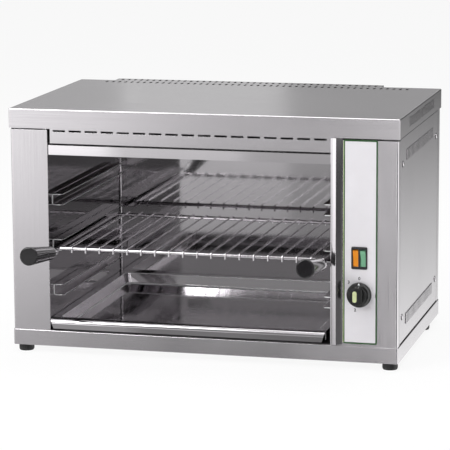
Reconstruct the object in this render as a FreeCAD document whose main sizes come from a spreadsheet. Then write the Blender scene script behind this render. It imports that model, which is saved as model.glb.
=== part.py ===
import FreeCAD, Part

import math
import os
import re

import Sketcher
from FreeCAD import Placement, Rotation, Vector

# A countertop cheese melter. X runs to the right, Y to the back and Z up, in millimetres.
# The origin lies on the surface that the feet stand on, under the middle of the whole object.

SIZES = {
    # Stainless shell
    "body_width": 640,
    "body_depth": 386,
    "body_height": 392,
    "sheet": 1,
    "fold_radius": 3,
    "panel_seam": 1.1,
    "shadow_gap": 2.4,
    "corner_wrap": 17,
    "rear_wrap": 22,
    "column_width": 62.6,
    "control_width": 108.4,
    # Base pan
    "base_height": 26,
    "base_overhang": 1,
    "base_flange": 14,
    # Top cover
    "cover_height": 32,
    "cover_overhang": 2,
    "cover_fold": 2,
    "cover_slot_count": 48,
    "cover_slot_length": 16,
    "cover_slot_width": 4,
    "cover_slot_inset": 21,
    "cover_slot_margin": 55.275,
    "side_vent_count": 47,
    "side_vent_width": 2.4,
    "side_vent_height": 16,
    "side_vent_drop": 7,
    "side_vent_front": 82,
    "side_vent_rear": 71.6,
    # Rear box
    "rear_box_depth": 28,
    "rear_box_left_lap": 2.6,
    "rear_box_right_lap": 5.4,
    "rear_box_lift": 16,
    "rear_box_drop": 0.5,
    "rear_box_flange": 14,
    "rear_box_slot_count": 41,
    "rear_box_slot_inset": 12.5,
    "rear_box_slot_margin": 11.5,
    "rear_box_screw_count": 3,
    "rear_box_screw_margin": 40,
    # Cooking chamber
    "chamber_air_gap": 12,
    "wall_seam_inset": 3,
    "wall_seam_gap": 0.4,
    "wall_rise": 9,
    # Upper fascia and reflector
    "upper_fascia_height": 24,
    "upper_fascia_gap": 4.4,
    "upper_fascia_flange": 20,
    "fascia_slot_count": 17,
    "fascia_slot_length_share": 0.76,
    "fascia_slot_height": 3,
    "fascia_slot_drop": 3.6,
    "fascia_slot_margin": 5.4,
    "fascia_slot_end": 6.7,
    "reflector_gap": 3.3,
    "reflector_lip": 15.7,
    "reflector_setback": 3,
    # Heating elements
    "element_count": 3,
    "element_margin": 6,
    "element_span": 60,
    "element_bend_share": 0.45,
    "element_radius": 4,
    "element_drop": 7.5,
    "element_inset": 30,
    "element_tail": 25,
    "element_clearance": 0.3,
    "hanger_margin": 7,
    "hanger_inset": 60,
    # Rack guides
    "guide_first": 81,
    "guide_headroom": 67.5,
    "guide_height": 18.5,
    "guide_reach": 17.4,
    "guide_sheet": 1.2,
    "guide_corner": 5,
    "guide_inset": 21,
    "guide_back_gap": 41,
    # Wire rack
    "rack_level": 1,
    "rack_rod": 6,
    "rack_wire": 3,
    "rack_side_gap": 11.2,
    "rack_inset": 17,
    "rack_back_gap": 62,
    "rack_clearance": 0.3,
    "rack_weld": 0.1,
    "rack_wire_count": 18,
    "rack_wire_drop": 5.5,
    "rack_bend": 12,
    "rack_bend_ahead": 4,
    # Grips
    "grip_reach": 138.5,
    "grip_length": 131,
    "grip_radius": 15,
    "grip_waist_radius": 11.2,
    "grip_neck_radius": 6,
    "grip_rim": 2.5,
    "grip_waist_run": 26,
    "grip_flare_run_share": 0.35,
    "grip_flare_share": 0.55,
    "grip_tilt": 8,
    "grip_drop": 2.5,
    "grip_fit": 0.05,
    "grip_bore": 62,
    "rod_in_grip": 60,
    "rod_lead": 3,
    # Drip tray
    "tray_left_gap": 0.5,
    "tray_right_gap": 8.5,
    "tray_back_gap": 1,
    "tray_front_reach": 4,
    "tray_height": 20,
    "tray_clearance": 0.3,
    "tray_rim": 14,
    "tray_corner": 6,
    "tray_basin_corner": 9,
    "tray_draft": 12,
    "tray_bottom_fillet": 3.5,
    "tray_fold": 3.4,
    "tray_fold_radius": 3,
    "tray_flange_drop": 17,
    "tray_flange_inset": 5.5,
    # Control side
    "post_front": 9.4,
    "post_width": 19.4,
    "post_reach": 6.5,
    "post_lip": 4,
    "post_lip_reach": 3.25,
    "post_nose": 1.5,
    "post_lift": 2,
    "label_thickness": 0.5,
    "label_gap": 0.8,
    "label_width": 55.2,
    "label_lift": 4,
    "label_drop": 2,
    "label_corner": 3,
    "control_offset": 1.4,
    # Rotary selector
    "knob_height": 110,
    "knob_gap": 0.5,
    "knob_skirt_radius": 20,
    "knob_skirt": 4,
    "knob_bevel": 2,
    "knob_body_radius": 15.5,
    "knob_body": 10,
    "knob_depth": 18,
    "knob_bar_width": 16,
    "knob_bar_length": 29,
    "knob_bar_corner": 4,
    "knob_edge": 1.2,
    "knob_taper": 0.6,
    "knob_bore": 9,
    "window_width": 6.6,
    "window_height": 18,
    "window_offset": 3.9,
    "inlay": 0.3,
    "pointer_width": 3.2,
    "pointer_height": 2.6,
    "pointer_rise": 17.1,
    "shaft_radius": 3,
    "shaft_fit": 0.05,
    "shaft_window": 0.4,
    "shaft_in_switch": 12,
    "selector_width": 40,
    "selector_depth": 34,
    # Twin rocker switch
    "switch_height": 169.25,
    "bezel_width": 25.6,
    "bezel_height": 36,
    "bezel_proud": 2,
    "bezel_corner": 2,
    "bezel_edge": 1,
    "switch_wall": 1,
    "switch_fit": 0.4,
    "switch_divider": 2.6,
    "switch_depth": 24,
    "switch_floor": 4,
    "rocker_width": 8.6,
    "rocker_gap": 0.3,
    "rocker_half_height": 13.2,
    "rocker_face": 6.5,
    "rocker_back": 3,
    "rocker_heel_inset": 0.9,
    "rocker_tilt": 7,
    "rocker_sink": 6,
    "rocker_pin_radius": 1,
    "rocker_pin_fit": 0.05,
    # Corner uprights behind the panels
    "upright_face": 25,
    "upright_side": 46,
    "upright_sheet": 1.5,
    # Side panels
    "louvre_count": 22,
    "louvre_width": 7,
    "louvre_height": 17.5,
    "louvre_proud": 1.2,
    "louvre_roof": 0.6,
    "louvre_margin": 70.8,
    "louvre_low": 50.8,
    "louvre_drop": 42.5,
    "screw_front": 37,
    "screw_rear": 39,
    "screw_low": 69,
    "screw_drop": 44,
    "screw_head_radius": 4,
    "screw_head": 1.8,
    "screw_shank_radius": 2,
    "screw_length": 7,
    "screw_window": 0.2,
    # Feet
    "foot_height": 12,
    "foot_radius": 12.5,
    "foot_foot_radius": 11.5,
    "foot_inset_side": 15,
    "foot_front_inset": 18,
    "foot_rear_inset": 73,
    "foot_well_radius": 6,
    "foot_well": 5,
    "foot_bevel": 2.5,
    "foot_bore": 2.7,
    "foot_screw_radius": 2.5,
    "foot_screw_head_radius": 4.5,
    "foot_screw_head": 3,
    "foot_nut_radius": 4.6,
    "foot_nut": 4,
    "foot_screw_end": 2,
    "foot_thread_fit": 0.05,
    # Supply entry
    "gland_inset": 40,
    "gland_height": 70,
    "gland_thread_radius": 8,
    "gland_head_radius": 12,
    "gland_head": 12,
    "gland_collar": 6,
    "gland_nut_radius": 12,
    "gland_nut": 5,
    "gland_bore": 4,
    "gland_fit": 0.2,
    "terminal_width": 60,
    "terminal_depth": 13,
    "terminal_height": 18,
    "terminal_inset": 28,
}

PLACES = {
    "side": "body_width / 2",
    "front": "(grip_reach - body_depth - rear_box_depth) / 2",
    "rear": "front + body_depth",
    "box_back": "rear + rear_box_depth",
    "base_bottom": "foot_height",
    "base_top": "base_bottom + base_height",
    "body_top": "base_bottom + body_height",
    "cover_bottom": "body_top - cover_height",
    "cover_under": "body_top - sheet",
    "cover_side": "side + cover_overhang",
    "cover_front": "front - cover_overhang",
    "cover_slot_first": "cover_slot_margin - cover_side",
    "cover_slot_pitch": "-2 * cover_slot_first / (cover_slot_count - 1)",
    "side_vent_pitch": "(body_depth - side_vent_front - side_vent_rear - side_vent_width)"
                       " / (side_vent_count - 1)",
    "panel_bottom": "base_top + shadow_gap",
    "panel_top": "cover_bottom - shadow_gap",
    "wrap_front": "front + corner_wrap",
    "wrap_rear": "rear - rear_wrap",
    "inner_fold": "fold_radius - sheet",
    "chamber_left": "-side + column_width",
    "chamber_right": "side - control_width",
    "chamber_back": "box_back - chamber_air_gap",
    "wall_left": "chamber_left - sheet",
    "wall_right": "chamber_right + sheet",
    "wall_front": "front + sheet",
    "wall_seam": "rear - wall_seam_inset",
    "wall_top": "cover_bottom + wall_rise",
    "floor_top": "base_top + sheet",
    "upper_fascia_bottom": "cover_bottom - upper_fascia_height",
    "upper_fascia_left": "chamber_left + upper_fascia_gap",
    "fascia_slot_pitch": "(chamber_right - upper_fascia_left - fascia_slot_margin - fascia_slot_end)"
                         " / (fascia_slot_count - 1 + fascia_slot_length_share)",
    "fascia_slot_length": "fascia_slot_pitch * fascia_slot_length_share",
    "reflector_top": "upper_fascia_bottom - reflector_gap",
    "reflector_under": "reflector_top - sheet",
    "reflector_bottom": "reflector_top - reflector_lip",
    "reflector_front": "front + reflector_setback",
    "element_height": "reflector_under - element_drop",
    "element_pitch": "(chamber_back - front - 2 * element_margin) / element_count",
    "element_first": "front + element_margin + element_pitch / 2",
    "guide_front": "front + guide_inset",
    "guide_back": "chamber_back - guide_back_gap",
    "guide_low": "base_bottom + guide_first",
    "guide_pitch": "(reflector_bottom - guide_headroom - guide_height - guide_low) / 2",
    "rack_left": "chamber_left + rack_side_gap",
    "rack_right": "chamber_right - rack_side_gap",
    "rack_wire_pitch": "(rack_right - rack_left) / (rack_wire_count + 1)",
    "rack_front": "front + rack_inset",
    "rack_back": "chamber_back - rack_back_gap",
    "rack_seat": "guide_low + rack_level * guide_pitch + guide_sheet",
    "rack_height": "rack_seat + rack_clearance + rack_rod / 2",
    "rack_wrap": "(rack_rod + rack_wire) / 2 + rack_weld",
    "grip_turn": "grip_tilt * pi / 180",
    "grip_ahead": "(grip_length - grip_rim) * cos(grip_tilt * 1 deg)"
                  " + (grip_radius - grip_rim) * sin(grip_tilt * 1 deg) + grip_rim",
    "grip_rear": "front - grip_reach + grip_ahead",
    "grip_height": "rack_height - grip_drop",
    "tray_left": "chamber_left + tray_left_gap",
    "tray_right": "chamber_right - tray_right_gap",
    "tray_front": "front - tray_front_reach",
    "tray_back": "chamber_back - tray_back_gap",
    "tray_top": "floor_top + tray_height",
    "tray_under": "tray_top - sheet",
    "tray_bottom": "floor_top + tray_clearance",
    "basin_left": "tray_left + tray_rim",
    "basin_right": "tray_right - tray_rim",
    "basin_front": "tray_front + tray_fold + tray_rim",
    "basin_back": "tray_back - tray_rim",
    "tray_inner_fold": "tray_fold_radius - sheet",
    "label_left": "chamber_right + post_width + label_gap",
    "label_right": "label_left + label_width",
    "label_face": "front - label_thickness",
    "label_bottom": "base_bottom + base_height + label_lift",
    "label_top": "cover_bottom - label_drop",
    "control_middle": "(label_left + label_right) / 2 - control_offset",
    "knob_axis": "base_bottom + knob_height",
    "knob_back": "label_face - knob_gap",
    "switch_middle": "base_bottom + switch_height",
    "bezel_face": "label_face - bezel_proud",
    "rocker_pivot": "front + rocker_sink",
    "cavity_half_width": "rocker_width + rocker_gap * 2 + switch_divider / 2",
    "cavity_half_height": "rocker_half_height * cos(rocker_tilt * 1 deg)"
                          " + (rocker_face + rocker_half_height * tan(rocker_tilt * 1 deg))"
                          " * sin(rocker_tilt * 1 deg) + rocker_gap",
    "rocker_offset": "switch_divider / 2 + rocker_gap + rocker_width / 2",
    "upright_corner": "side - sheet",
    "rear_inside": "rear - sheet",
    "louvre_start": "front + louvre_margin",
    "louvre_pitch": "(body_depth - 2 * louvre_margin - louvre_width) / (louvre_count - 1)",
    "screw_front_place": "front + screw_front",
    "screw_rear_place": "rear - screw_rear",
    "screw_low_place": "base_bottom + screw_low",
    "screw_high_place": "cover_bottom - screw_drop",
    "screw_bore": "screw_shank_radius + screw_window",
    "box_left": "chamber_left - rear_box_left_lap",
    "box_right": "chamber_right + rear_box_right_lap",
    "box_bottom": "base_bottom + rear_box_lift",
    "box_top": "body_top - rear_box_drop",
    "box_slot_first": "box_left + rear_box_slot_margin",
    "box_slot_pitch": "(box_right - rear_box_slot_margin - box_slot_first)"
                      " / (rear_box_slot_count - 1)",
    "box_screw_step": "(cover_bottom - box_bottom - 2 * rear_box_screw_margin)"
                      " / (rear_box_screw_count - 1)",
    "foot_side": "side - foot_inset_side",
    "foot_front": "front + foot_front_inset",
    "foot_rear": "rear - foot_rear_inset",
    "gland_place": "side - gland_inset",
    "gland_axis": "base_bottom + gland_height",
}

ORIGIN = Vector()
TURN_TO_X = Rotation(Vector(0, 1, 0), 90)
TURN_TO_Y = Rotation(Vector(-1, 0, 0), 90)
TURNS = {"x": TURN_TO_X, "y": TURN_TO_Y, "z": Rotation()}
NEAR = 1e-4
WORD = re.compile(r"[a-z][a-z_]*")

doc = FreeCAD.newDocument("CheeseMelter")
parts = []


def spelled(formula):
    """Put the name of its sheet before each named value in a formula."""

    def owned(match):
        word = match.group(0)
        if word in SIZES:
            return "Sizes." + word
        if word in PLACES:
            return "Places." + word
        return word

    return WORD.sub(owned, formula)


def fill_sheet(name, cells):
    """Write each value or formula into a cell that bears its name."""
    sheet = doc.addObject("Spreadsheet::Sheet", name)
    for row, (alias, content) in enumerate(cells.items(), 1):
        sheet.set(f"A{row}", alias)
        sheet.set(f"B{row}", content)
        sheet.setAlias(f"B{row}", alias)
    doc.recompute()
    return sheet


sizes = fill_sheet("Sizes", {name: str(value) for name, value in SIZES.items()})
places = fill_sheet("Places", {name: "=" + spelled(text).replace("Places.", "")
                               for name, text in PLACES.items()})


def amount(formula):
    """Work out a formula of named values."""
    return float(sizes.evalExpression(spelled(formula)))


def bind(piece, **formulas):
    """Tie properties to formulas; two underscores in a name stand for a dot."""
    for name, formula in formulas.items():
        piece.setExpression(name.replace("__", "."), spelled(formula))


def keep(piece, label):
    """Name a finished sub-part and set it down for export."""
    piece.Label = label
    parts.append(piece)
    return piece


def box(name, x, y, z):
    """Make a block between two formulas along each axis."""
    block = doc.addObject("Part::Box", name)
    bind(block, Length=f"({x[1]}) - ({x[0]})")
    bind(block, Width=f"({y[1]}) - ({y[0]})")
    bind(block, Height=f"({z[1]}) - ({z[0]})")
    bind(block, Placement__Base__x=x[0], Placement__Base__y=y[0], Placement__Base__z=z[0])
    return block


def rod(name, axis, radius, x, y, z):
    """Make a cylinder; the place along its own axis is a pair, the other two are its centre."""
    place = {"x": x, "y": y, "z": z}
    low, high = place[axis]
    place[axis] = low
    piece = doc.addObject("Part::Cylinder", name)
    piece.Placement = Placement(ORIGIN, TURNS[axis])
    bind(piece, Radius=radius, Height=f"({high}) - ({low})")
    bind(piece, Placement__Base__x=place["x"])
    bind(piece, Placement__Base__y=place["y"])
    bind(piece, Placement__Base__z=place["z"])
    return piece


def joined(name, pieces):
    """Join pieces, or gather them where they don't touch."""
    if len(pieces) == 1:
        return pieces[0]
    whole = doc.addObject("Part::MultiFuse", name)
    whole.Shapes = pieces
    return whole


def cut(name, base, tools):
    """Take tools away from a base."""
    piece = doc.addObject("Part::Cut", name)
    piece.Base = base
    piece.Tool = joined(name + "Tools", tools)
    return piece


def body(name, label):
    """Start a body for a sub-part."""
    return keep(doc.addObject("PartDesign::Body", name), label)


def origin_feature(owner, role):
    """Find one of a body's own planes or axes."""
    return next(item for item in owner.Origin.OriginFeatures if item.Role == role)


def sketch_on(owner, role, depth):
    """Lay a sketch on a body's own plane, moved along the plane's normal."""
    sketch = owner.newObject("Sketcher::SketchObject", owner.Name + "Sketch")
    sketch.AttachmentSupport = [(origin_feature(owner, role), "")]
    sketch.MapMode = "FlatFace"
    bind(sketch, AttachmentOffset__Base__z=depth)
    return sketch


def hold(sketch, kind, *args, formula):
    """Add a dimension to a sketch and tie it to a formula."""
    index = sketch.addConstraint(Sketcher.Constraint(kind, *args, amount(formula)))
    bind(sketch, **{f"Constraints[{index}]": formula})


def hold_point(sketch, geometry, point, across, up):
    """Hold a point of a sketch by its two distances from the origin."""
    hold(sketch, "DistanceX", -1, 1, geometry, point, formula=across)
    hold(sketch, "DistanceY", -1, 1, geometry, point, formula=up)


def outline(sketch, points):
    """Draw a closed run of straight lines with its corners at pairs of formulas."""
    corners = [Vector(amount(across), amount(up), 0) for across, up in points]
    first = len(sketch.Geometry)
    for start, end in zip(corners, corners[1:] + corners[:1]):
        sketch.addGeometry(Part.LineSegment(start, end), False)
    for index, (across, up) in enumerate(points):
        following = first + (index + 1) % len(points)
        sketch.addConstraint(Sketcher.Constraint("Coincident", first + index, 2, following, 1))
        hold_point(sketch, first + index, 1, across, up)
    return sketch


def rectangle(sketch, left, right, low, high):
    """Draw a rectangle between formulas."""
    return outline(sketch, [(left, low), (right, low), (right, high), (left, high)])


def rounded_rectangle(sketch, left, right, low, high, radius):
    """Draw a rectangle whose corners are arcs."""
    r = amount(radius)
    ends = [amount(formula) for formula in (left, right, low, high)]
    x = (ends[0] + r, ends[1] - r)
    y = (ends[2] + r, ends[3] - r)
    centres = [(x[1], y[1]), (x[0], y[1]), (x[0], y[0]), (x[1], y[0])]
    arcs = []
    for index, (across, up) in enumerate(centres):
        turn = Part.Circle(Vector(across, up, 0), Vector(0, 0, 1), r)
        arcs.append(Part.ArcOfCircle(turn, index * math.pi / 2, (index + 1) * math.pi / 2))
    for index, arc in enumerate(arcs):
        following = arcs[(index + 1) % 4]
        sketch.addGeometry(arc, False)
        sketch.addGeometry(Part.LineSegment(arc.EndPoint, following.StartPoint), False)
    for index in range(8):
        sketch.addConstraint(Sketcher.Constraint("Tangent", index, 2, (index + 1) % 8, 1))
    for index in (2, 4, 6):
        sketch.addConstraint(Sketcher.Constraint("Equal", 0, index))
    hold(sketch, "Radius", 0, formula=radius)
    hold_point(sketch, 0, 3, f"({right}) - {radius}", f"({high}) - {radius}")
    hold_point(sketch, 4, 3, f"({left}) + {radius}", f"({low}) + {radius}")
    sketch.addConstraint(Sketcher.Constraint("Horizontal", 1))
    return sketch


def circle(sketch, across, up, radius):
    """Draw a circle about a point given by formulas."""
    centre = Vector(amount(across), amount(up), 0)
    index = sketch.addGeometry(Part.Circle(centre, Vector(0, 0, 1), amount(radius)), False)
    hold_point(sketch, index, 3, across, up)
    hold(sketch, "Radius", index, formula=radius)
    return sketch


def upright_slot(sketch, across, middle, length, width):
    """Draw a slot with round ends, long in the sketch's upward direction."""
    reach = f"(({length}) - ({width})) / 2"
    radius = amount(width) / 2
    x = amount(across)
    high = amount(f"{middle} + {reach}")
    low = amount(f"{middle} - {reach}")
    normal = Vector(0, 0, 1)
    cap = Part.ArcOfCircle(Part.Circle(Vector(x, high, 0), normal, radius), 0, math.pi)
    heel = Part.ArcOfCircle(Part.Circle(Vector(x, low, 0), normal, radius), math.pi, 2 * math.pi)
    left = Part.LineSegment(Vector(x - radius, high, 0), Vector(x - radius, low, 0))
    right = Part.LineSegment(Vector(x + radius, low, 0), Vector(x + radius, high, 0))
    sketch.addGeometry([cap, left, heel, right], False)
    for index in range(4):
        sketch.addConstraint(Sketcher.Constraint("Tangent", index, 2, (index + 1) % 4, 1))
    hold_point(sketch, 0, 3, across, f"{middle} + {reach}")
    hold_point(sketch, 2, 3, across, f"{middle} - {reach}")
    hold(sketch, "Radius", 0, formula=f"({width}) / 2")
    sketch.addConstraint(Sketcher.Constraint("Equal", 0, 2))
    return sketch


def pad(owner, sketch, length, backward=False):
    """Raise a sketch along its plane's normal, or against it."""
    feature = owner.newObject("PartDesign::Pad", owner.Name + "Pad")
    feature.Profile = sketch
    feature.Reversed = backward
    bind(feature, Length=length)
    return feature


def pocket(owner, sketch, depth, forward=False):
    """Cut a sketch into the solid against its plane's normal, or along it."""
    feature = owner.newObject("PartDesign::Pocket", owner.Name + "Pocket")
    feature.Profile = sketch
    feature.Reversed = forward
    bind(feature, Length=depth)
    return feature


def revolve(owner, sketch):
    """Turn a sketch about its own horizontal axis."""
    feature = owner.newObject("PartDesign::Revolution", owner.Name + "Revolution")
    feature.Profile = sketch
    feature.ReferenceAxis = (sketch, ["H_Axis"])
    feature.Angle = 360
    return feature


def repeat(owner, features, role, pitch, count):
    """Repeat features along one of the body's axes."""
    doc.recompute()
    feature = owner.newObject("PartDesign::LinearPattern", owner.Name + "Pattern")
    feature.Originals = features
    feature.Direction = (origin_feature(owner, role), [""])
    bind(feature, Length=f"({pitch}) * ({count} - 1)", Occurrences=count)
    owner.Tip = feature
    return feature


def straight_edges(feature, axis, **where):
    """Name the straight edges along an axis whose middles lie at the given formulas."""
    direction = {"x": Vector(1, 0, 0), "y": Vector(0, 1, 0), "z": Vector(0, 0, 1)}[axis]
    wanted = {key: amount(formula) for key, formula in where.items()}
    names = []
    for number, edge in enumerate(feature.Shape.Edges, 1):
        if len(edge.Vertexes) < 2:
            continue
        run = edge.Vertexes[1].Point - edge.Vertexes[0].Point
        along = abs(run.dot(direction)) > (1 - NEAR) * edge.Length
        middle = edge.CenterOfMass
        placed = all(abs(getattr(middle, key) - value) < NEAR for key, value in wanted.items())
        if along and placed:
            names.append(f"Edge{number}")
    return names


def level_edges(feature, **where):
    """Name every edge that lies wholly at a level along one axis."""
    (key, formula), = where.items()
    level = amount(formula)
    bounds = {"y": ("YMin", "YMax"), "z": ("ZMin", "ZMax")}[key]
    names = []
    for number, edge in enumerate(feature.Shape.Edges, 1):
        if all(abs(getattr(edge.BoundBox, bound) - level) < NEAR for bound in bounds):
            names.append(f"Edge{number}")
    return names


def fillet(owner, feature, edges, radius):
    """Round edges of a feature."""
    rounded = owner.newObject("PartDesign::Fillet", owner.Name + "Fillet")
    rounded.Base = (feature, edges)
    bind(rounded, Radius=radius)
    doc.recompute()
    return rounded


def drafted(feature, angle):
    """Lean the walls of a pad or pocket inwards."""
    bind(feature, TaperAngle=angle)
    doc.recompute()
    return feature


def bent_rod(points, radius, bend):
    """Sweep a round section along straight runs joined by arcs."""
    edges = []
    start = points[0]
    for before, corner, after in zip(points, points[1:], points[2:]):
        inward = (corner - before).normalize()
        outward = (after - corner).normalize()
        turn = inward.getAngle(outward)
        lead = bend * math.tan(turn / 2)
        arrive = corner - inward * lead
        leave = corner + outward * lead
        middle = corner + (outward - inward).normalize() * bend * (1 / math.cos(turn / 2) - 1)
        edges.append(Part.LineSegment(start, arrive).toShape())
        edges.append(Part.Arc(arrive, middle, leave).toShape())
        start = leave
    edges.append(Part.LineSegment(start, points[-1]).toShape())
    section = Part.Wire(Part.makeCircle(radius, points[0], points[1] - points[0]))
    return Part.Wire(edges).makePipeShell([section], True, False)


def shaped(name, label, shape):
    """Hold a shape made from the sheet's values."""
    feature = doc.addObject("Part::Feature", name)
    feature.Shape = shape
    feature.Placement = Placement()
    return keep(feature, label)


def base_pan():
    """Fold the base from one sheet: floor, four walls and a flange that carries the panels."""
    pan = body("BasePan", "base_pan")
    outside = "side + base_overhang"
    ahead = "front - base_overhang"
    plan = rectangle(sketch_on(pan, "XY_Plane", "base_bottom"), f"-({outside})", outside, ahead, "rear")
    block = pad(pan, plan, "base_height")
    doc.recompute()
    corners = straight_edges(block, "z")
    fillet(pan, block, corners, "fold_radius")
    hollow = rectangle(sketch_on(pan, "XY_Plane", "base_bottom + sheet"),
                       f"-({outside} - sheet)", f"{outside} - sheet",
                       f"{ahead} + sheet", "rear - sheet")
    pocket(pan, hollow, "base_height - 2 * sheet", forward=True)
    inner = f"{outside} - base_flange"
    mouth = rectangle(sketch_on(pan, "XY_Plane", "base_top"), f"-({inner})", inner,
                      f"{ahead} + base_flange", "rear - base_flange")
    pocket(pan, mouth, "2 * sheet")
    holes = sketch_on(pan, "XY_Plane", "base_bottom")
    for across in ("-foot_side", "foot_side"):
        for along in ("foot_front", "foot_rear"):
            circle(holes, across, along, "foot_bore")
    pocket(pan, holes, "sheet", forward=True)


def corner_sheet(name, label, points, outer, inner, top):
    """Fold an upright sheet round a corner of the body."""
    panel = body(name, label)
    plan = outline(sketch_on(panel, "XY_Plane", "base_top"), points)
    raised = pad(panel, plan, f"{top} - base_top")
    doc.recompute()
    rounded = fillet(panel, raised, straight_edges(raised, "z", x=outer[0], y=outer[1]), "fold_radius")
    fillet(panel, rounded, straight_edges(rounded, "z", x=inner[0], y=inner[1]), "inner_fold")
    return panel


def left_column():
    """Make the plain front column, wrapped round the left corner."""
    points = [("-side", "wrap_front"), ("-side", "front"), ("chamber_left", "front"),
              ("chamber_left", "wall_front"), ("-upright_corner", "wall_front"),
              ("-upright_corner", "wrap_front")]
    corner_sheet("LeftColumn", "left_column", points, ("-side", "front"),
                 ("-upright_corner", "wall_front"), "panel_top")


def control_fascia():
    """Make the control front, wrapped round the right corner, with its shaft and switch windows."""
    points = [("side", "wrap_front"), ("side", "front"), ("chamber_right", "front"),
              ("chamber_right", "wall_front"), ("upright_corner", "wall_front"),
              ("upright_corner", "wrap_front")]
    fascia = corner_sheet("ControlFascia", "control_fascia", points, ("side", "front"),
                          ("upright_corner", "wall_front"), "panel_top")
    pocket(fascia, control_windows(fascia, "front"), "2 * sheet")


def control_windows(owner, face):
    """Draw the round window of the shaft and the window of the rocker switch."""
    windows = sketch_on(owner, "XZ_Plane", f"-({face})")
    circle(windows, "control_middle", "knob_axis", "shaft_radius + shaft_window")
    wide = "(cavity_half_width + switch_wall)"
    tall = "(cavity_half_height + switch_wall)"
    rectangle(windows, f"control_middle - {wide}", f"control_middle + {wide}",
              f"switch_middle - {tall}", f"switch_middle + {tall}")
    return windows


def back_panels():
    """Make the two rear panels beside the chamber, each wrapped round its corner."""
    for name, label, sign, inner in (("BackPanelLeft", "back_panel_left", "-", "wall_left"),
                                     ("BackPanelRight", "back_panel_right", "", "wall_right")):
        outside = sign + "side"
        inside = sign + "upright_corner"
        points = [(outside, "wrap_rear"), (outside, "rear"), (inner, "rear"),
                  (inner, "rear_inside"), (inside, "rear_inside"), (inside, "wrap_rear")]
        panel = corner_sheet(name, label, points, (outside, "rear"), (inside, "rear_inside"),
                             "cover_under")
        holes = sketch_on(panel, "XZ_Plane", "-(rear_inside)")
        edge = "box_left - rear_box_flange / 2" if sign else "box_right + rear_box_flange / 2"
        for index in range(int(SIZES["rear_box_screw_count"])):
            circle(holes, edge, box_screw_height(index), "screw_bore")
        if not sign:
            circle(holes, "gland_place", "gland_axis", "gland_thread_radius + gland_fit")
        pocket(panel, holes, "sheet")


def box_screw_height(index):
    """Give the height of one of the rear box's screws."""
    return f"box_bottom + rear_box_screw_margin + {index} * box_screw_step"


def side_panel(name, label, right):
    """Make a side panel with its two rows of louvres and its four screw holes."""
    panel = body(name, label)
    inner = "side - sheet" if right else "-side + sheet"
    plate = rectangle(sketch_on(panel, "YZ_Plane", inner), "wrap_front + panel_seam",
                      "wrap_rear - panel_seam", "panel_bottom", "panel_top")
    pad(panel, plate, "sheet", backward=not right)
    holes = sketch_on(panel, "YZ_Plane", inner)
    for along in ("screw_front_place", "screw_rear_place"):
        for up in ("screw_low_place", "screw_high_place"):
            circle(holes, along, up, "screw_bore")
    pocket(panel, holes, "sheet", forward=right)
    for bottom in ("base_bottom + louvre_low", "cover_bottom - louvre_drop"):
        hood = rectangle(sketch_on(panel, "YZ_Plane", inner), "louvre_start",
                         "louvre_start + louvre_width", bottom, f"{bottom} + louvre_height")
        hood_pad = pad(panel, hood, "sheet + louvre_proud", backward=not right)
        hollow = rectangle(sketch_on(panel, "YZ_Plane", inner), "louvre_start + louvre_roof",
                           "louvre_start + louvre_width", f"{bottom} + louvre_roof",
                           f"{bottom} + louvre_height - louvre_roof")
        hollow_pocket = pocket(panel, hollow, "sheet + louvre_proud - louvre_roof", forward=right)
        repeat(panel, [hood_pad, hollow_pocket], "Y_Axis", "louvre_pitch", "louvre_count")


def top_cover():
    """Make the cover as an upturned pan without a rear wall, with its slots and side vents."""
    cover = body("TopCover", "top_cover")
    plan = rectangle(sketch_on(cover, "XY_Plane", "cover_bottom"), "-cover_side", "cover_side",
                     "cover_front", "rear")
    block = pad(cover, plan, "cover_height")
    doc.recompute()
    folds = straight_edges(block, "x", y="cover_front", z="body_top")
    for edge in ("-cover_side", "cover_side"):
        folds += straight_edges(block, "y", x=edge, z="body_top")
        folds += straight_edges(block, "z", x=edge, y="cover_front")
    fillet(cover, block, folds, "cover_fold")
    inside = rectangle(sketch_on(cover, "XY_Plane", "cover_bottom"), "-cover_side + sheet",
                       "cover_side - sheet", "cover_front + sheet", "rear + sheet")
    pocket(cover, inside, "cover_height - sheet", forward=True)
    slot = upright_slot(sketch_on(cover, "XY_Plane", "body_top"), "cover_slot_first",
                        "rear - cover_slot_inset", "cover_slot_length", "cover_slot_width")
    repeat(cover, [pocket(cover, slot, "2 * sheet")], "X_Axis", "cover_slot_pitch", "cover_slot_count")
    vent = rectangle(sketch_on(cover, "YZ_Plane", "cover_side"), "front + side_vent_front",
                     "front + side_vent_front + side_vent_width",
                     "body_top - side_vent_drop - side_vent_height", "body_top - side_vent_drop")
    repeat(cover, [pocket(cover, vent, "2 * cover_side")], "Y_Axis", "side_vent_pitch",
           "side_vent_count")


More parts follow.
